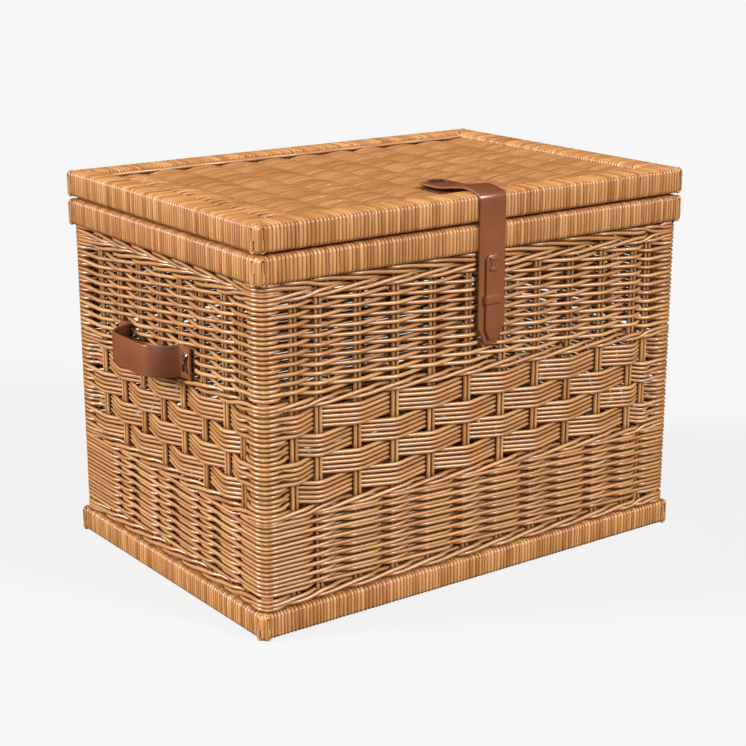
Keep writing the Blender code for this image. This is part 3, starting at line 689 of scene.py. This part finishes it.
def bind_frame(name, body, seed):
    """All the binding of one frame: strips round its four sides and loops at its corners."""
    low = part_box(f"{name}_binding_left")[0]
    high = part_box(f"{name}_binding_right")[1]
    front_low, front_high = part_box(f"{name}_binding_front")
    front_y, back_y = front_low.y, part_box(f"{name}_binding_back")[1].y
    bar = front_high.y - front_low.y
    height = high.z - low.z
    corners = [np.array([x, y, (high.z + low.z) / 2]) for x, y in (
        (low.x, front_y), (high.x, front_y), (high.x, back_y), (low.x, back_y))]
    bundle = Bundle(seed)
    for corner, after in zip(corners, corners[1:] + corners[:1]):
        run = np.linalg.norm(after - corner)
        ahead = (after - corner) / run
        inward = np.array([-ahead[1], ahead[0], 0.0])
        bind_side(bundle, corner, ahead, inward, run, bar, height)
        inset = settings().binding.loop * 0.72
        for place in (inset, run - inset):
            end_loop(bundle, corner + ahead * place, ahead, -inward, height)
    nodes = [f"{name}_binding_{side}" for side in ("front", "back", "left", "right")]
    return bundle.build(f"{name}_willow_binding", willow("bound_willow", skein=True), body,
                        "willow_skein", nodes)


# ---- Leather ---------------------------------------------------------------------------------------
def smooth_line(points, step):
    """An even, smooth line through a few points (Catmull-Rom)."""
    points = np.asarray(points, float)
    ends = np.concatenate([[2 * points[0] - points[1]], points, [2 * points[-1] - points[-2]]])
    line = []
    for before, start, end, after in zip(ends, ends[1:], ends[2:], ends[3:]):
        for t in np.linspace(0, 1, 12, endpoint=False):
            line.append(0.5 * (2 * start + (end - before) * t
                               + (2 * before - 5 * start + 4 * end - after) * t * t
                               + (3 * start - before - 3 * end + after) * t ** 3))
    line = np.array(line + [points[-1]])
    along = np.concatenate([[0], np.cumsum(np.linalg.norm(np.diff(line, axis=0), axis=1))])
    even = np.linspace(0, along[-1], max(int(along[-1] / step), 4))
    return np.stack([np.interp(even, along, line[:, axis]) for axis in range(3)], -1)


def strap_line(x):
    """The closing strap from its laced end, over the lid frame and down the front to its tip."""
    panel_z = PANEL_TOP + LEATHER / 2 + 0.3 * MM
    full_lift = LID_TOP - PANEL_TOP + settings().leather.bow
    inner_y = LID_FRONT_HIGH.y
    face_y = (FLAP_LOW.y + FLAP_HIGH.y) / 2
    bend = 5.8 * MM
    edge_z = LID_TOP - 4 * MM
    points = [(x, ANCHOR_BACK_Y, panel_z), (x, ANCHOR_BACK_Y - 22 * MM, panel_z)]
    for back, share in ((34, 0.12), (12, 0.66), (-6, 1.0), (-17, 0.86)):
        points.append((x, inner_y + back * MM, panel_z + full_lift * share))
    for turn in np.radians(np.linspace(88, 180, 6)):
        points.append((x, face_y + bend + bend * math.cos(turn), edge_z + bend * math.sin(turn)))
    points += [(x, face_y, z) for z in np.linspace(edge_z - 12 * MM, FLAP_LOW.z, 8)]
    return smooth_line(points, 1.6 * MM)


def shaped_band(path, width_at, thickness, edge):
    """Outlines of a strap whose width changes along it, thinned a little at its ends."""
    from_end = np.minimum(np.arange(len(path)), np.arange(len(path))[::-1])
    outlines = []
    for near, point in zip(from_end, path):
        fade = (0.72, 0.92, 1.0)[min(near, 2)]
        outlines.append(band_outline(width_at(point), thickness * fade, min(edge, thickness * fade / 2.1)))
    return np.array(outlines)


def taper_to(tip_z, tip_width, width, taper):
    """Width of a strap that narrows in straight cuts to a blunt tip."""
    def width_at(point):
        share = np.clip((point[2] - tip_z) / taper, 0, 1)
        return tip_width + (width - tip_width) * share
    return width_at


def add_lace(bundle, middle, along, across, out):
    """A crossed thong that dips into the leather at its four ends."""
    width, arm = settings().leather.lace, 12 * MM
    steps = np.linspace(-1, 1, 15)
    for number, lean in enumerate((1, -1)):
        path = (middle + np.outer(steps * arm * 0.92, along) + np.outer(steps * arm * 0.42 * lean, across)
                + np.outer((0.9 + 0.7 * number) * MM * (1 - steps ** 4) - 1.2 * MM * steps ** 8, out))
        bundle.sweep(path, out, band_outline(width, 1.5 * MM, 0.5 * MM))
    knot = middle + np.outer(np.linspace(-0.55, 0.55, 7) * arm, across) * 0.5
    knot = knot + np.outer(2.1 * MM * (1 - np.linspace(-1, 1, 7) ** 2), out)
    bundle.sweep(knot, out, band_outline(width * 0.9, 1.4 * MM, 0.5 * MM))


def build_strap():
    """The closing strap in one length, which bends over the lid's front edge."""
    leather = settings().leather
    middle_x = (FLAP_LOW.x + FLAP_HIGH.x) / 2
    path = strap_line(middle_x)
    up = np.cross(unit(np.gradient(path, axis=0)), (1, 0, 0))
    width_at = taper_to(FLAP_LOW.z, leather.tip, FLAP_HIGH.x - FLAP_LOW.x, leather.taper)
    bundle = Bundle(71)
    bundle.sweep(path, up, shaped_band(path, width_at, LEATHER, leather.edge), tone=0.5)
    strap = bundle.build("closing_strap", hide("saddle_leather"), None, "saddle_leather",
                         ("strap_anchor", "strap_flap"))
    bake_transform(strap)


def build_tongue():
    """The narrow tongue on the strap, round at its top and blunt at its tip."""
    leather = settings().leather
    heights = np.arange(TONGUE_HIGH.z, TONGUE_LOW.z, -1.2 * MM)
    tapered = taper_to(TONGUE_LOW.z, leather.tongue_tip, TONGUE_HIGH.x - TONGUE_LOW.x,
                       leather.tongue_taper)

    def width_at(point):
        down = np.clip((TONGUE_HIGH.z - point[2]) / (7 * MM), 0, 1)
        return tapered(point) * (0.35 + 0.65 * math.sqrt(1 - (1 - down) ** 2))

    path = np.stack([np.full(len(heights), (TONGUE_LOW.x + TONGUE_HIGH.x) / 2),
                     np.full(len(heights), (TONGUE_LOW.y + TONGUE_HIGH.y) / 2), heights], -1)
    bundle = Bundle(72)
    bundle.sweep(path, (0, -1, 0), shaped_band(path, width_at, LEATHER, leather.edge), tone=0.58)
    bundle.build("strap_tongue_leather", hide("saddle_leather"), "strap", "saddle_leather",
                 ("strap_tongue",))


def build_keeper():
    """The loop that holds the tongue down."""
    depth = KEEPER_HIGH.y - KEEPER_LOW.y
    half = (KEEPER_HIGH.x - KEEPER_LOW.x) / 2
    centre = (KEEPER_LOW + KEEPER_HIGH) / 2
    loop = [(-half + 1 * MM, KEEPER_HIGH.y), (-half + 1 * MM, KEEPER_LOW.y + 2.4 * MM),
            (-half + 2.4 * MM, KEEPER_LOW.y + 1 * MM), (0, KEEPER_LOW.y + 0.95 * MM),
            (half - 2.4 * MM, KEEPER_LOW.y + 1 * MM), (half - 1 * MM, KEEPER_LOW.y + 2.4 * MM),
            (half - 1 * MM, KEEPER_HIGH.y)]
    path = smooth_line([(centre.x + x, y, centre.z) for x, y in loop], 0.8 * MM)
    outward = path - np.array([centre.x, KEEPER_HIGH.y + depth, centre.z])
    bundle = Bundle(73)
    bundle.sweep(path, outward, band_outline(KEEPER_HIGH.z - KEEPER_LOW.z, 1.9 * MM, 0.6 * MM), tone=0.45)
    bundle.build("strap_keeper_leather", hide("saddle_leather"), "strap", "saddle_leather",
                 ("strap_keeper",))


def build_thong():
    """The thong that sews the tongue to the strap: two crossings and the piece between them."""
    centre = (THONG_LOW + THONG_HIGH) / 2
    tall, wide = THONG_HIGH.z - THONG_LOW.z, THONG_HIGH.x - THONG_LOW.x
    steps = np.linspace(-1, 1, 13)
    bundle = Bundle(74)
    for shift in (-0.5, 0.5):
        path = np.stack([centre.x + steps * wide / 2, centre.y + 0.6 * MM - 0.9 * MM * (1 - steps ** 6),
                         np.full(13, centre.z + shift * (tall - 4.5 * MM))], -1)
        bundle.sweep(path, (0, -1, 0), band_outline(4.2 * MM, 1.5 * MM, 0.6 * MM), tone=0.7)
    heights = np.linspace(centre.z - tall / 2 + 3 * MM, centre.z + tall / 2 - 3 * MM, 9)
    path = np.stack([np.full(9, centre.x), np.full(9, centre.y + 0.5 * MM), heights], -1)
    bundle.sweep(path, (0, -1, 0), band_outline(wide - 3 * MM, 1.2 * MM, 0.5 * MM), tone=0.35)
    bundle.build("strap_thong_leather", hide("saddle_leather"), "strap", "saddle_leather",
                 ("strap_thong",))


def build_strap_lace():
    """The lace that ties the strap to the lid."""
    low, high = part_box("strap_lace")
    bundle = Bundle(75)
    add_lace(bundle, np.array((low + high) / 2) - (0, 0, 0.6 * MM), np.array([1.0, 0, 0]),
             np.array([0, 1.0, 0]), np.array([0, 0, 1.0]))
    bundle.build("strap_lace_thong", hide("lace_leather"), "lid", "lace_leather", ("strap_lace",))


def handle_path(side, foot_x, far_x, middle_y, middle_z, half):
    """A handle's line: flat along the wall at its ends and bowed out between its feet."""
    leather = settings().leather
    along = np.linspace(-half, half, 120)
    inside = np.maximum(leather.handle_foot - np.abs(along), 0)
    share = 1 - np.exp(-(inside / leather.handle_shoulder) ** 1.43)
    return np.stack([side * (foot_x + (far_x - foot_x) * share), middle_y + along,
                     np.full(120, middle_z)], -1)


def build_handle(side):
    """A bowed leather handle, flat at its two laced ends. side is -1 for the left one."""
    name = "handle_left" if side < 0 else "handle_right"
    grip_low, grip_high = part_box(name + "_grip")
    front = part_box(name + "_end_front")
    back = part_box(name + "_end_back")
    foot_x = min(abs(front[0].x), abs(front[1].x)) + LEATHER / 2
    far_x = max(abs(grip_low.x), abs(grip_high.x)) - LEATHER / 2
    middle_y = (front[0].y + back[1].y) / 2
    middle_z = (grip_low.z + grip_high.z) / 2
    path = handle_path(side, foot_x, far_x, middle_y, middle_z, (back[1].y - front[0].y) / 2)
    outward = np.cross(unit(np.gradient(path, axis=0)), (0, 0, side))
    bundle = Bundle(80 + side)
    outlines = shaped_band(path, lambda point: grip_high.z - grip_low.z, LEATHER,
                           settings().leather.edge)
    bundle.sweep(path, outward, outlines, tone=0.5)
    nodes = [f"{name}_grip", f"{name}_end_front", f"{name}_end_back"]
    strap = bundle.build(name + "_leather", hide("saddle_leather"), None, "saddle_leather", nodes)
    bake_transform(strap)


def build_handle_laces(side):
    """The laces that tie a handle's two ends to the wall."""
    name = "handle_left" if side < 0 else "handle_right"
    bundle = Bundle(83 + side)
    for end in ("front", "back"):
        low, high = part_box(f"{name}_lace_{end}")
        add_lace(bundle, np.array((low + high) / 2) - (side * 0.6 * MM, 0, 0), np.array([0, 0, 1.0]),
                 np.array([0, 1.0, 0]), np.array([side, 0, 0.0]))
    bundle.build(name + "_laces", hide("lace_leather"), "trunk", "lace_leather",
                 (f"{name}_lace_front", f"{name}_lace_back"))


# ---- Finishes --------------------------------------------------------------------------------------
class Sock:
    """A node's output that can be used in Python arithmetic."""

    def __init__(self, nodes, socket):
        self.nodes, self.socket = nodes, socket

    def math(self, operation, first, second):
        return self.nodes.add("ShaderNodeMath", {"operation": operation}, {0: first, 1: second})

    def __add__(self, other):
        return self.math("ADD", self, other)

    def __sub__(self, other):
        return self.math("SUBTRACT", self, other)

    def __rsub__(self, other):
        return self.math("SUBTRACT", other, self)

    def __mul__(self, other):
        return self.math("MULTIPLY", self, other)

    __radd__ = __add__
    __rmul__ = __mul__

    def clamp(self):
        """Held between 0 and 1."""
        return self.math("MINIMUM", self.math("MAXIMUM", self, 0.0), 1.0)


class Nodes:
    """Adds nodes to a tree and links them."""

    def __init__(self, tree):
        self.tree = tree

    def add(self, kind, options=None, values=None, output=0):
        """One node with its options set first, then its sockets' values or links."""
        node = self.tree.nodes.new(kind)
        for key, value in (options or {}).items():
            setattr(node, key, value)
        for key, value in (values or {}).items():
            self.put(node.inputs[key], value)
        return Sock(self, node.outputs[output])

    def put(self, socket, value):
        if isinstance(value, Sock):
            self.tree.links.new(value.socket, socket)
        else:
            socket.default_value = value


class Finish(Nodes):
    """A material made of nodes, with a Principled shader at its end."""

    def __init__(self, name):
        self.material = bpy.data.materials.new(name)
        self.material.use_nodes = True
        super().__init__(self.material.node_tree)

    def set(self, **values):
        """Give the shader's sockets their values and hand over the material."""
        shader = self.tree.nodes["Principled BSDF"]
        for key, value in values.items():
            self.put(shader.inputs[key.replace("_", " ").title()], value)
        return self.material

    def place(self):
        """Where a point lies in its own mesh."""
        return self.add("ShaderNodeTexCoord", output=3)

    def attribute(self, name, output):
        return self.add("ShaderNodeAttribute", {"attribute_name": name}, output=output)

    def scaled(self, vector, scale):
        return self.add("ShaderNodeVectorMath", {"operation": "MULTIPLY"}, {0: vector, 1: scale})

    def noise(self, vector, scale, detail=3.0):
        return self.add("ShaderNodeTexNoise", None,
                        {"Vector": vector, "Scale": scale, "Detail": detail, "Roughness": 0.55})

    def mix(self, share, first, second):
        """One colour turning into another. Inputs 6 and 7 and output 2 are the node's colours."""
        first, second = ((*c, 1) if isinstance(c, tuple) else c for c in (first, second))
        return self.add("ShaderNodeMix", {"data_type": "RGBA"}, {0: share, 6: first, 7: second}, output=2)

    def hollows(self, reach, depth):
        """How far into a crevice a point lies, from 0 in the open to 1: the mask for shade painted into
        the hollows.
        """
        near = self.add("ShaderNodeAmbientOcclusion", {"samples": 6}, {"Distance": reach}, output=1)
        return ((1.0 - near) * depth).clamp()

    def bump(self, height, strength, distance):
        return self.add("ShaderNodeBump", None,
                        {"Height": height, "Strength": strength, "Distance": distance})


def shade(share, paint):
    """A colour made darker or paler."""
    return tuple(share * part for part in paint)


def kept(name, make):
    """A material by name, made the first time that it is asked for."""
    return bpy.data.materials.get(name) or make(Finish(name))


def willow(name, skein=False):
    """Varnished willow whose grain runs along each rod or strip. skein is for the split strips."""
    def make(finish):
        colors = settings().finish
        dark = tuple(colors.willow_dark)
        lie = finish.attribute("lie", "Vector")
        tone = finish.attribute("tone", "Fac")
        slow = finish.noise(finish.scaled(lie, (1, 3, 3)), 26.0, 2.0)
        fibre = finish.noise(finish.scaled(lie, (0.03, 1, 1)), 2600.0 if skein else 2100.0)
        knots = finish.noise(finish.scaled(lie, (1, 2.2, 2.2)), 95.0, 1.0)
        share = tone * (0.95 if skein else 0.62) + slow * 0.8 - (0.36 if skein else 0.2)
        base = finish.mix(share.clamp(), dark, tuple(colors.willow_light))
        base = finish.mix((fibre * 1.5 - 0.35).clamp() * 0.42, base, shade(0.55, dark))
        base = finish.mix((knots * 9.0 - 6.1).clamp() * 0.3, base, shade(0.4, dark))
        # Painted shade: the occlusion mask darkens the hollows between rods and strips towards the hollow
        # shade colour
        shade_share = finish.hollows(4 * MM, 1.0) if skein else finish.hollows(7 * MM, 1.35)
        base = finish.mix(shade_share, base, tuple(colors.hollow_shade))
        return finish.set(base_color=base, roughness=0.32 + fibre * 0.2 + tone * 0.05,
                          coat_weight=0.4 if skein else 0.65, coat_roughness=0.24,
                          normal=finish.bump(fibre * 0.6 + slow * 0.4, 0.35, 0.0006))
    return kept(name, make)


def post_willow():
    """Willow for the upright posts that the model carries over, grained by their height."""
    def make(finish):
        colors = settings().finish
        dark = tuple(colors.willow_dark)
        place = finish.place()
        fibre = finish.noise(finish.scaled(place, (1, 1, 0.03)), 900.0)
        slow = finish.noise(place, 22.0)
        base = finish.mix((slow * 1.2 - 0.1).clamp(), dark, tuple(colors.willow_light))
        base = finish.mix(fibre * 0.5, base, shade(0.5, dark))
        return finish.set(base_color=base, roughness=0.38 + fibre * 0.2,
                          normal=finish.bump(fibre, 0.4, 0.0006))
    return kept("post_willow", make)


def sawn_batten():
    """Sawn wood inside the bindings."""
    def make(finish):
        batten = tuple(settings().finish.batten)
        grain = finish.noise(finish.scaled(finish.place(), (6, 6, 90)), 6.0, 5.0)
        base = finish.mix(grain, shade(0.55, batten), batten)
        return finish.set(base_color=base, roughness=0.62 + grain * 0.15,
                          normal=finish.bump(grain, 0.3, 0.0005))
    return kept("sawn_batten", make)


def hide(slot):
    """Smooth strap leather with a fine pore grain, or the dark leather of the laces."""
    def make(finish):
        colors = settings().finish
        skin = tuple(colors.leather if slot == "saddle_leather" else colors.lace)
        place = finish.place()
        pores = finish.add("ShaderNodeTexVoronoi", {"feature": "DISTANCE_TO_EDGE"},
                           {"Vector": place, "Scale": 900.0})
        cloud = finish.noise(place, 32.0, 4.0)
        fine = finish.noise(place, 700.0, 4.0)
        base = finish.mix((cloud * 1.6 - 0.3).clamp(), shade(0.80, skin), shade(1.14, skin))
        base = finish.mix(fine * 0.25, base, shade(0.6, skin))
        return finish.set(base_color=base, roughness=0.30 + fine * 0.08, coat_weight=0.6,
                          coat_roughness=0.2, normal=finish.bump(pores * 2.0 + fine * 0.4, 0.12, 0.0003))
    return kept("finished_" + slot, make)


def aged_brass():
    """Brushed brass of the hinges, tarnished in places."""
    def make(finish):
        brass = tuple(settings().finish.brass)
        place = finish.place()
        brushed = finish.noise(finish.scaled(place, (0.05, 1, 1)), 1500.0)
        tarnish = finish.noise(place, 120.0, 5.0)
        base = finish.mix((tarnish * 2.0 - 0.7).clamp(), shade(0.55, brass), brass)
        return finish.set(base_color=base, metallic=1.0, roughness=0.26 + tarnish * 0.25,
                          normal=finish.bump(brushed, 0.15, 0.0003))
    return kept("aged_brass", make)


def refinish(nodes, material):
    """Give carried-over CAD nodes a detailed material."""
    for node in nodes:
        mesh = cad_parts[node].data
        mesh.materials.clear()
        mesh.materials.append(material)


# ---- Stage -----------------------------------------------------------------------------------------
def build_floor():
    """A pale floor that glows evenly and takes on a faint shadow."""
    studio = settings().studio
    half = 30.0
    mesh = bpy.data.meshes.new("studio_floor")
    mesh.from_pydata([(-half, -half, 0), (half, -half, 0), (half, half, 0), (-half, half, 0)],
                     [], [(0, 1, 2, 3)])
    finish = Finish("pale_floor")
    glow = finish.add("ShaderNodeEmission", None, {"Color": (1, 1, 1, 1), "Strength": studio.floor_glow})
    paint = finish.add("ShaderNodeBsdfDiffuse", None, {"Color": (*[studio.floor_paint] * 3, 1)})
    both = finish.add("ShaderNodeAddShader", None, {0: glow, 1: paint})
    finish.put(finish.tree.nodes["Material Output"].inputs["Surface"], both)
    mesh.materials.append(finish.material)
    floor = bpy.data.objects.new("studio_floor", mesh)
    bpy.context.scene.collection.objects.link(floor)
    floor.visible_diffuse = False
    floor.visible_glossy = False
    return floor


def build_sky():
    """Soft light all round that grows from below to above."""
    studio = settings().studio
    world = bpy.data.worlds.new("studio_sky")
    world.use_nodes = True
    sky = Nodes(world.node_tree)
    rise = sky.add("ShaderNodeSeparateXYZ", None, {0: sky.add("ShaderNodeTexCoord")}, output=2)
    strength = sky.add("ShaderNodeMapRange", None, {
        "Value": rise, "From Min": -0.35, "From Max": 0.9, "To Min": studio.ground, "To Max": studio.sky})
    sky.put(world.node_tree.nodes["Background"].inputs["Strength"], strength)
    bpy.context.scene.world = world


def add_sun(name, direction, strength, spread):
    """A sun that shines from a direction, with its spread in degrees."""
    light = bpy.data.lights.new(name, "SUN")
    light.energy = strength
    light.angle = math.radians(spread)
    sun = bpy.data.objects.new(name, light)
    bpy.context.scene.collection.objects.link(sun)
    x, y, z = unit(np.array(direction))
    sun.rotation_euler = (math.acos(z), 0, math.atan2(y, x) + math.pi / 2)
    return sun


def build_camera():
    """The camera, turned round the trunk's middle and then stepped aside."""
    studio = settings().studio
    lens = bpy.data.cameras.new("camera")
    lens.lens = studio.lens
    lens.clip_end = 100
    camera = bpy.data.objects.new("camera", lens)
    bpy.context.scene.collection.objects.link(camera)
    flat = math.cos(studio.elevation)
    back = np.array([math.sin(studio.azimuth) * flat, -math.cos(studio.azimuth) * flat,
                     math.sin(studio.elevation)])
    right = unit(np.cross((0, 0, 1), back))
    up = np.cross(back, right)
    camera.location = ((0, 0, LID_TOP / 2) + studio.distance * back + studio.shift_right * right
                       + studio.shift_up * up)
    camera.rotation_euler = (math.pi / 2 - studio.elevation, 0, studio.azimuth)
    bpy.context.scene.camera = camera


# ---- Operators -------------------------------------------------------------------------------------
def wall_piece(name, lay, seed, replaced=()):
    """One woven band of the walls as a single mesh."""
    rods = WallRods(seed)
    lay(rods)
    return rods.bundle.build(name, willow("woven_willow"), "trunk", "willow_rod", replaced)


class TRUNK_OT_frames(bpy.types.Operator):
    """Wind split willow round the base, rim and lid frames"""
    bl_idname = "trunk.frames"
    bl_label = "Bind Frames"

    def execute(self, context):
        for name, body, seed in (("base", "trunk", 18), ("rim", "trunk", 405), ("lid", "lid", 438)):
            bind_frame(name, body, seed)
        refinish(["base_frame", "rim_frame", "lid_frame"], sawn_batten())
        return {"FINISHED"}


class TRUNK_OT_stakes(bpy.types.Operator):
    """Set the paired stakes and finish the corner posts"""
    bl_idname = "trunk.stakes"
    bl_label = "Stakes and Posts"

    def execute(self, context):
        bundle = Bundle(5)
        lay_stakes(bundle)
        bundle.build("wall_stakes", willow("woven_willow"), "trunk", "willow_rod")
        posts = [f"{y}_{x}_post" for y in ("front", "back") for x in ("left", "right")]
        refinish(posts, post_willow())
        return {"FINISHED"}


class TRUNK_OT_open_weave(bpy.types.Operator):
    """Weave the open band under the rim"""
    bl_idname = "trunk.open_weave"
    bl_label = "Open Weave"

    def execute(self, context):
        wall_piece("open_weave", lay_open_weave, 11, ("front_wall", "back_wall"))
        return {"FINISHED"}


class TRUNK_OT_block_weave(bpy.types.Operator):
    """Weave the blocks of five rods"""
    bl_idname = "trunk.block_weave"
    bl_label = "Block Weave"

    def execute(self, context):
        wall_piece("block_weave", lay_block_weave, 12, ("left_wall", "right_wall"))
        return {"FINISHED"}


class TRUNK_OT_close_weave(bpy.types.Operator):
    """Weave the close band above the base"""
    bl_idname = "trunk.close_weave"
    bl_label = "Close Weave"

    def execute(self, context):
        corners = [f"{y}_{x}_corner_weave" for y in ("front", "back") for x in ("left", "right")]
        wall_piece("close_weave", lay_close_weave, 13, corners)
        return {"FINISHED"}


class TRUNK_OT_wales(bpy.types.Operator):
    """Lay the twisted rows between the bands"""
    bl_idname = "trunk.wales"
    bl_label = "Wales"

    def execute(self, context):
        wall_piece("wale_rows", lay_wales, 14)
        return {"FINISHED"}


class TRUNK_OT_panels(bpy.types.Operator):
    """Weave the lid panel and the floor"""
    bl_idname = "trunk.panels"
    bl_label = "Lid and Floor"

    def execute(self, context):
        weave_panel("lid_woven_panel", "lid_panel", "lid", 15)
        weave_panel("floor_woven_panel", "floor_panel", "trunk", 17)
        return {"FINISHED"}


class TRUNK_OT_closing_strap(bpy.types.Operator):
    """Make the closing strap with its tongue, keeper, thong and lace"""
    bl_idname = "trunk.closing_strap"
    bl_label = "Closing Strap"

    def execute(self, context):
        build_strap()
        build_tongue()
        build_keeper()
        build_thong()
        build_strap_lace()
        return {"FINISHED"}


class TRUNK_OT_handles(bpy.types.Operator):
    """Make the two leather handles and their laces"""
    bl_idname = "trunk.handles"
    bl_label = "Handles"

    def execute(self, context):
        for side in (-1, 1):
            build_handle(side)
            build_handle_laces(side)
        return {"FINISHED"}


class TRUNK_OT_hinges(bpy.types.Operator):
    """Finish the hinges, pins and screws in brass"""
    bl_idname = "trunk.hinges"
    bl_label = "Hinges"

    def execute(self, context):
        refinish([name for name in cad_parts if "hinge" in name], aged_brass())
        return {"FINISHED"}


class TRUNK_OT_studio(bpy.types.Operator):
    """Set the pale floor, the soft light and the camera"""
    bl_idname = "trunk.studio"
    bl_label = "Studio"

    def execute(self, context):
        studio = settings().studio
        floor = build_floor()
        build_sky()
        lights = [add_sun("key_light", (-0.82, 0.38, 0.42), studio.key, 18),
                  add_sun("front_light", (0.36, -0.80, 0.50), studio.front, 18),
                  add_sun("near_light", (-0.64, -0.66, 0.34), studio.fill, 26)]
        build_camera()
        context.scene.view_settings.view_transform = "Standard"
        return {"FINISHED"}


class TRUNK_PT_panel(bpy.types.Panel):
    """Buttons that build the trunk piece by piece"""
    bl_idname = "TRUNK_PT_panel"
    bl_label = "Wicker Trunk"
    bl_space_type = "VIEW_3D"
    bl_region_type = "UI"
    bl_category = "Wicker Trunk"

    def draw(self, context):
        for operator in OPERATORS:
            self.layout.operator(operator.bl_idname)


OPERATORS = (TRUNK_OT_frames, TRUNK_OT_stakes, TRUNK_OT_open_weave, TRUNK_OT_block_weave,
             TRUNK_OT_close_weave, TRUNK_OT_wales, TRUNK_OT_panels, TRUNK_OT_closing_strap,
             TRUNK_OT_handles, TRUNK_OT_hinges, TRUNK_OT_studio)
CLASSES = (WeaveSizes, BindingSizes, PanelSizes, LeatherSizes, Finishes, Studio, TrunkSettings,
           *OPERATORS, TRUNK_PT_panel)


def register():
    for item in CLASSES:
        bpy.utils.register_class(item)
    bpy.types.Scene.wicker_trunk = bpy.props.PointerProperty(type=TrunkSettings)


def unregister():
    del bpy.types.Scene.wicker_trunk
    for item in reversed(CLASSES):
        bpy.utils.unregister_class(item)


def main():
    register()
    for operator in OPERATORS:
        group, name = operator.bl_idname.split(".")
        getattr(getattr(bpy.ops, group), name)()


if __name__ == "__main__":
    main()
